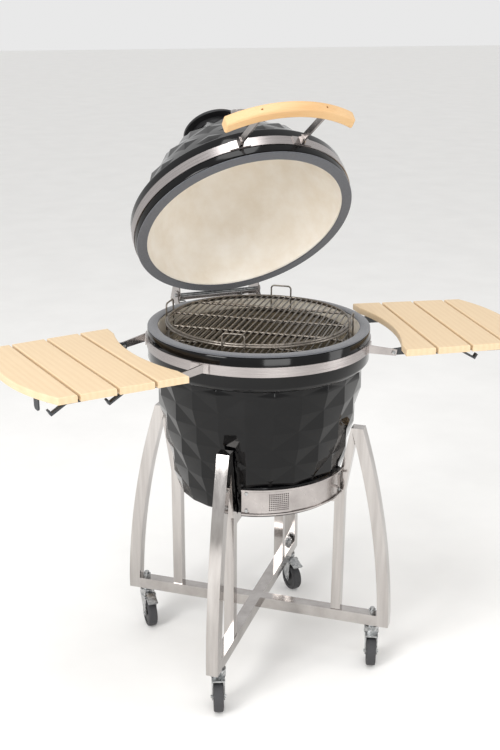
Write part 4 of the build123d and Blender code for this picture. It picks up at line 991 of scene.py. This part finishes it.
@dataclass
class Studio:
    """Camera, lights and floor."""

    focal_px: float = 1120.73
    centre_px: tuple[float, float] = (257.83, 432.81)
    image_px: tuple[float, float] = (500.0, 750.0)
    azimuth: float = -22.311
    elevation: float = 21.636
    roll: float = 0.508
    distance: float = 2.82654
    target_z: float = 0.6
    lamp_aim_z: float = 0.7
    surround: float = 0.9
    lights: dict[str, tuple[tuple[float, float, float], float, tuple[float, float]]] = field(
        default_factory=lambda: {
            "key": ((-3.2, -1.6, 2.3), 88.0, (1.3, 2.4)),
            "fill": ((3.0, -1.9, 1.2), 26.0, (1.0, 2.4)),
            "front": ((-0.3, -3.6, 0.9), 24.0, (1.6, 0.9)),
            "top": ((-0.4, -0.6, 3.8), 34.0, (1.6, 1.6)),
        }
    )

    def camera(self) -> None:
        """Make the camera."""
        a, e, r = (math.radians(v) for v in (self.azimuth, self.elevation, self.roll))
        back = Vector((math.sin(a) * math.cos(e), -math.cos(a) * math.cos(e), math.sin(e)))
        right = Vector((math.cos(a), math.sin(a), 0))
        up = back.cross(right)
        x = right * math.cos(r) + up * math.sin(r)
        y = up * math.cos(r) - right * math.sin(r)
        wide, tall = self.image_px
        data = bpy.data.cameras.new("camera")
        data.sensor_width = 36.0
        data.lens = self.focal_px / tall * 36.0
        data.shift_x = (wide / 2 - self.centre_px[0]) / tall
        data.shift_y = (self.centre_px[1] - tall / 2) / tall
        eye = bpy.data.objects.new("camera", data)
        bpy.context.collection.objects.link(eye)
        turn = Matrix((x, y, back)).transposed().to_4x4()
        eye.matrix_world = Matrix.Translation(Vector((0, 0, self.target_z)) + back * self.distance) @ turn
        bpy.context.scene.camera = eye

    def lamps(self) -> None:
        """Make the soft boxes and the pale surround."""
        for name, (spot, power, size) in self.lights.items():
            data = bpy.data.lights.new(name, "AREA")
            data.shape = "RECTANGLE"
            data.energy = power
            data.size, data.size_y = size
            lamp = bpy.data.objects.new(name, data)
            lamp.location = spot
            aim = Vector((0, 0, self.lamp_aim_z)) - Vector(spot)
            lamp.rotation_euler = aim.to_track_quat("-Z", "Y").to_euler()
            bpy.context.collection.objects.link(lamp)
        world = bpy.data.worlds.new("surround")
        world.use_nodes = True
        back = world.node_tree.nodes["Background"]
        back.inputs["Color"].default_value = linear("f4f4f4")
        back.inputs["Strength"].default_value = self.surround
        bpy.context.scene.world = world

    def floor(self, palette: Palette) -> None:
        """Lay the pale floor.

        Args:
            palette: Source of the materials.
        """
        clear_selection()
        bpy.ops.mesh.primitive_plane_add(size=60.0, location=(0, 0, 0))
        floor = bpy.context.object
        floor.name = floor.data.name = "studio_floor"
        floor.data.materials.append(palette.material(PAPER_FLOOR))

    def build(self, palette: Palette) -> None:
        """Set up the studio.

        Args:
            palette: Source of the materials.
        """
        self.camera()
        self.lamps()
        self.floor(palette)
        bpy.context.scene.view_settings.view_transform = "Standard"


def main() -> None:
    """Dress the grill, add its modelled pieces and set the studio."""
    logging.basicConfig(level=logging.INFO, format="%(name)s: %(message)s")
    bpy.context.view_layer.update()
    palette = Palette()
    Studio().build(palette)
    Dresser().build(palette)
    BowlShell().build(palette)
    lid = LidShell()
    lid.build(palette)
    Gasket("bowl_felt", "base_gasket", "grill", 883.6).build(palette, Matrix.Identity(4))
    Gasket("lid_felt", "lid_gasket", "lid", 0.0).build(palette, lid.frame())
    Thermometer().build(palette, lid)
    HingeSprings().build(palette)
    clear_selection()
    LOG.info("boxes written")


if __name__ == "__main__":
    main()
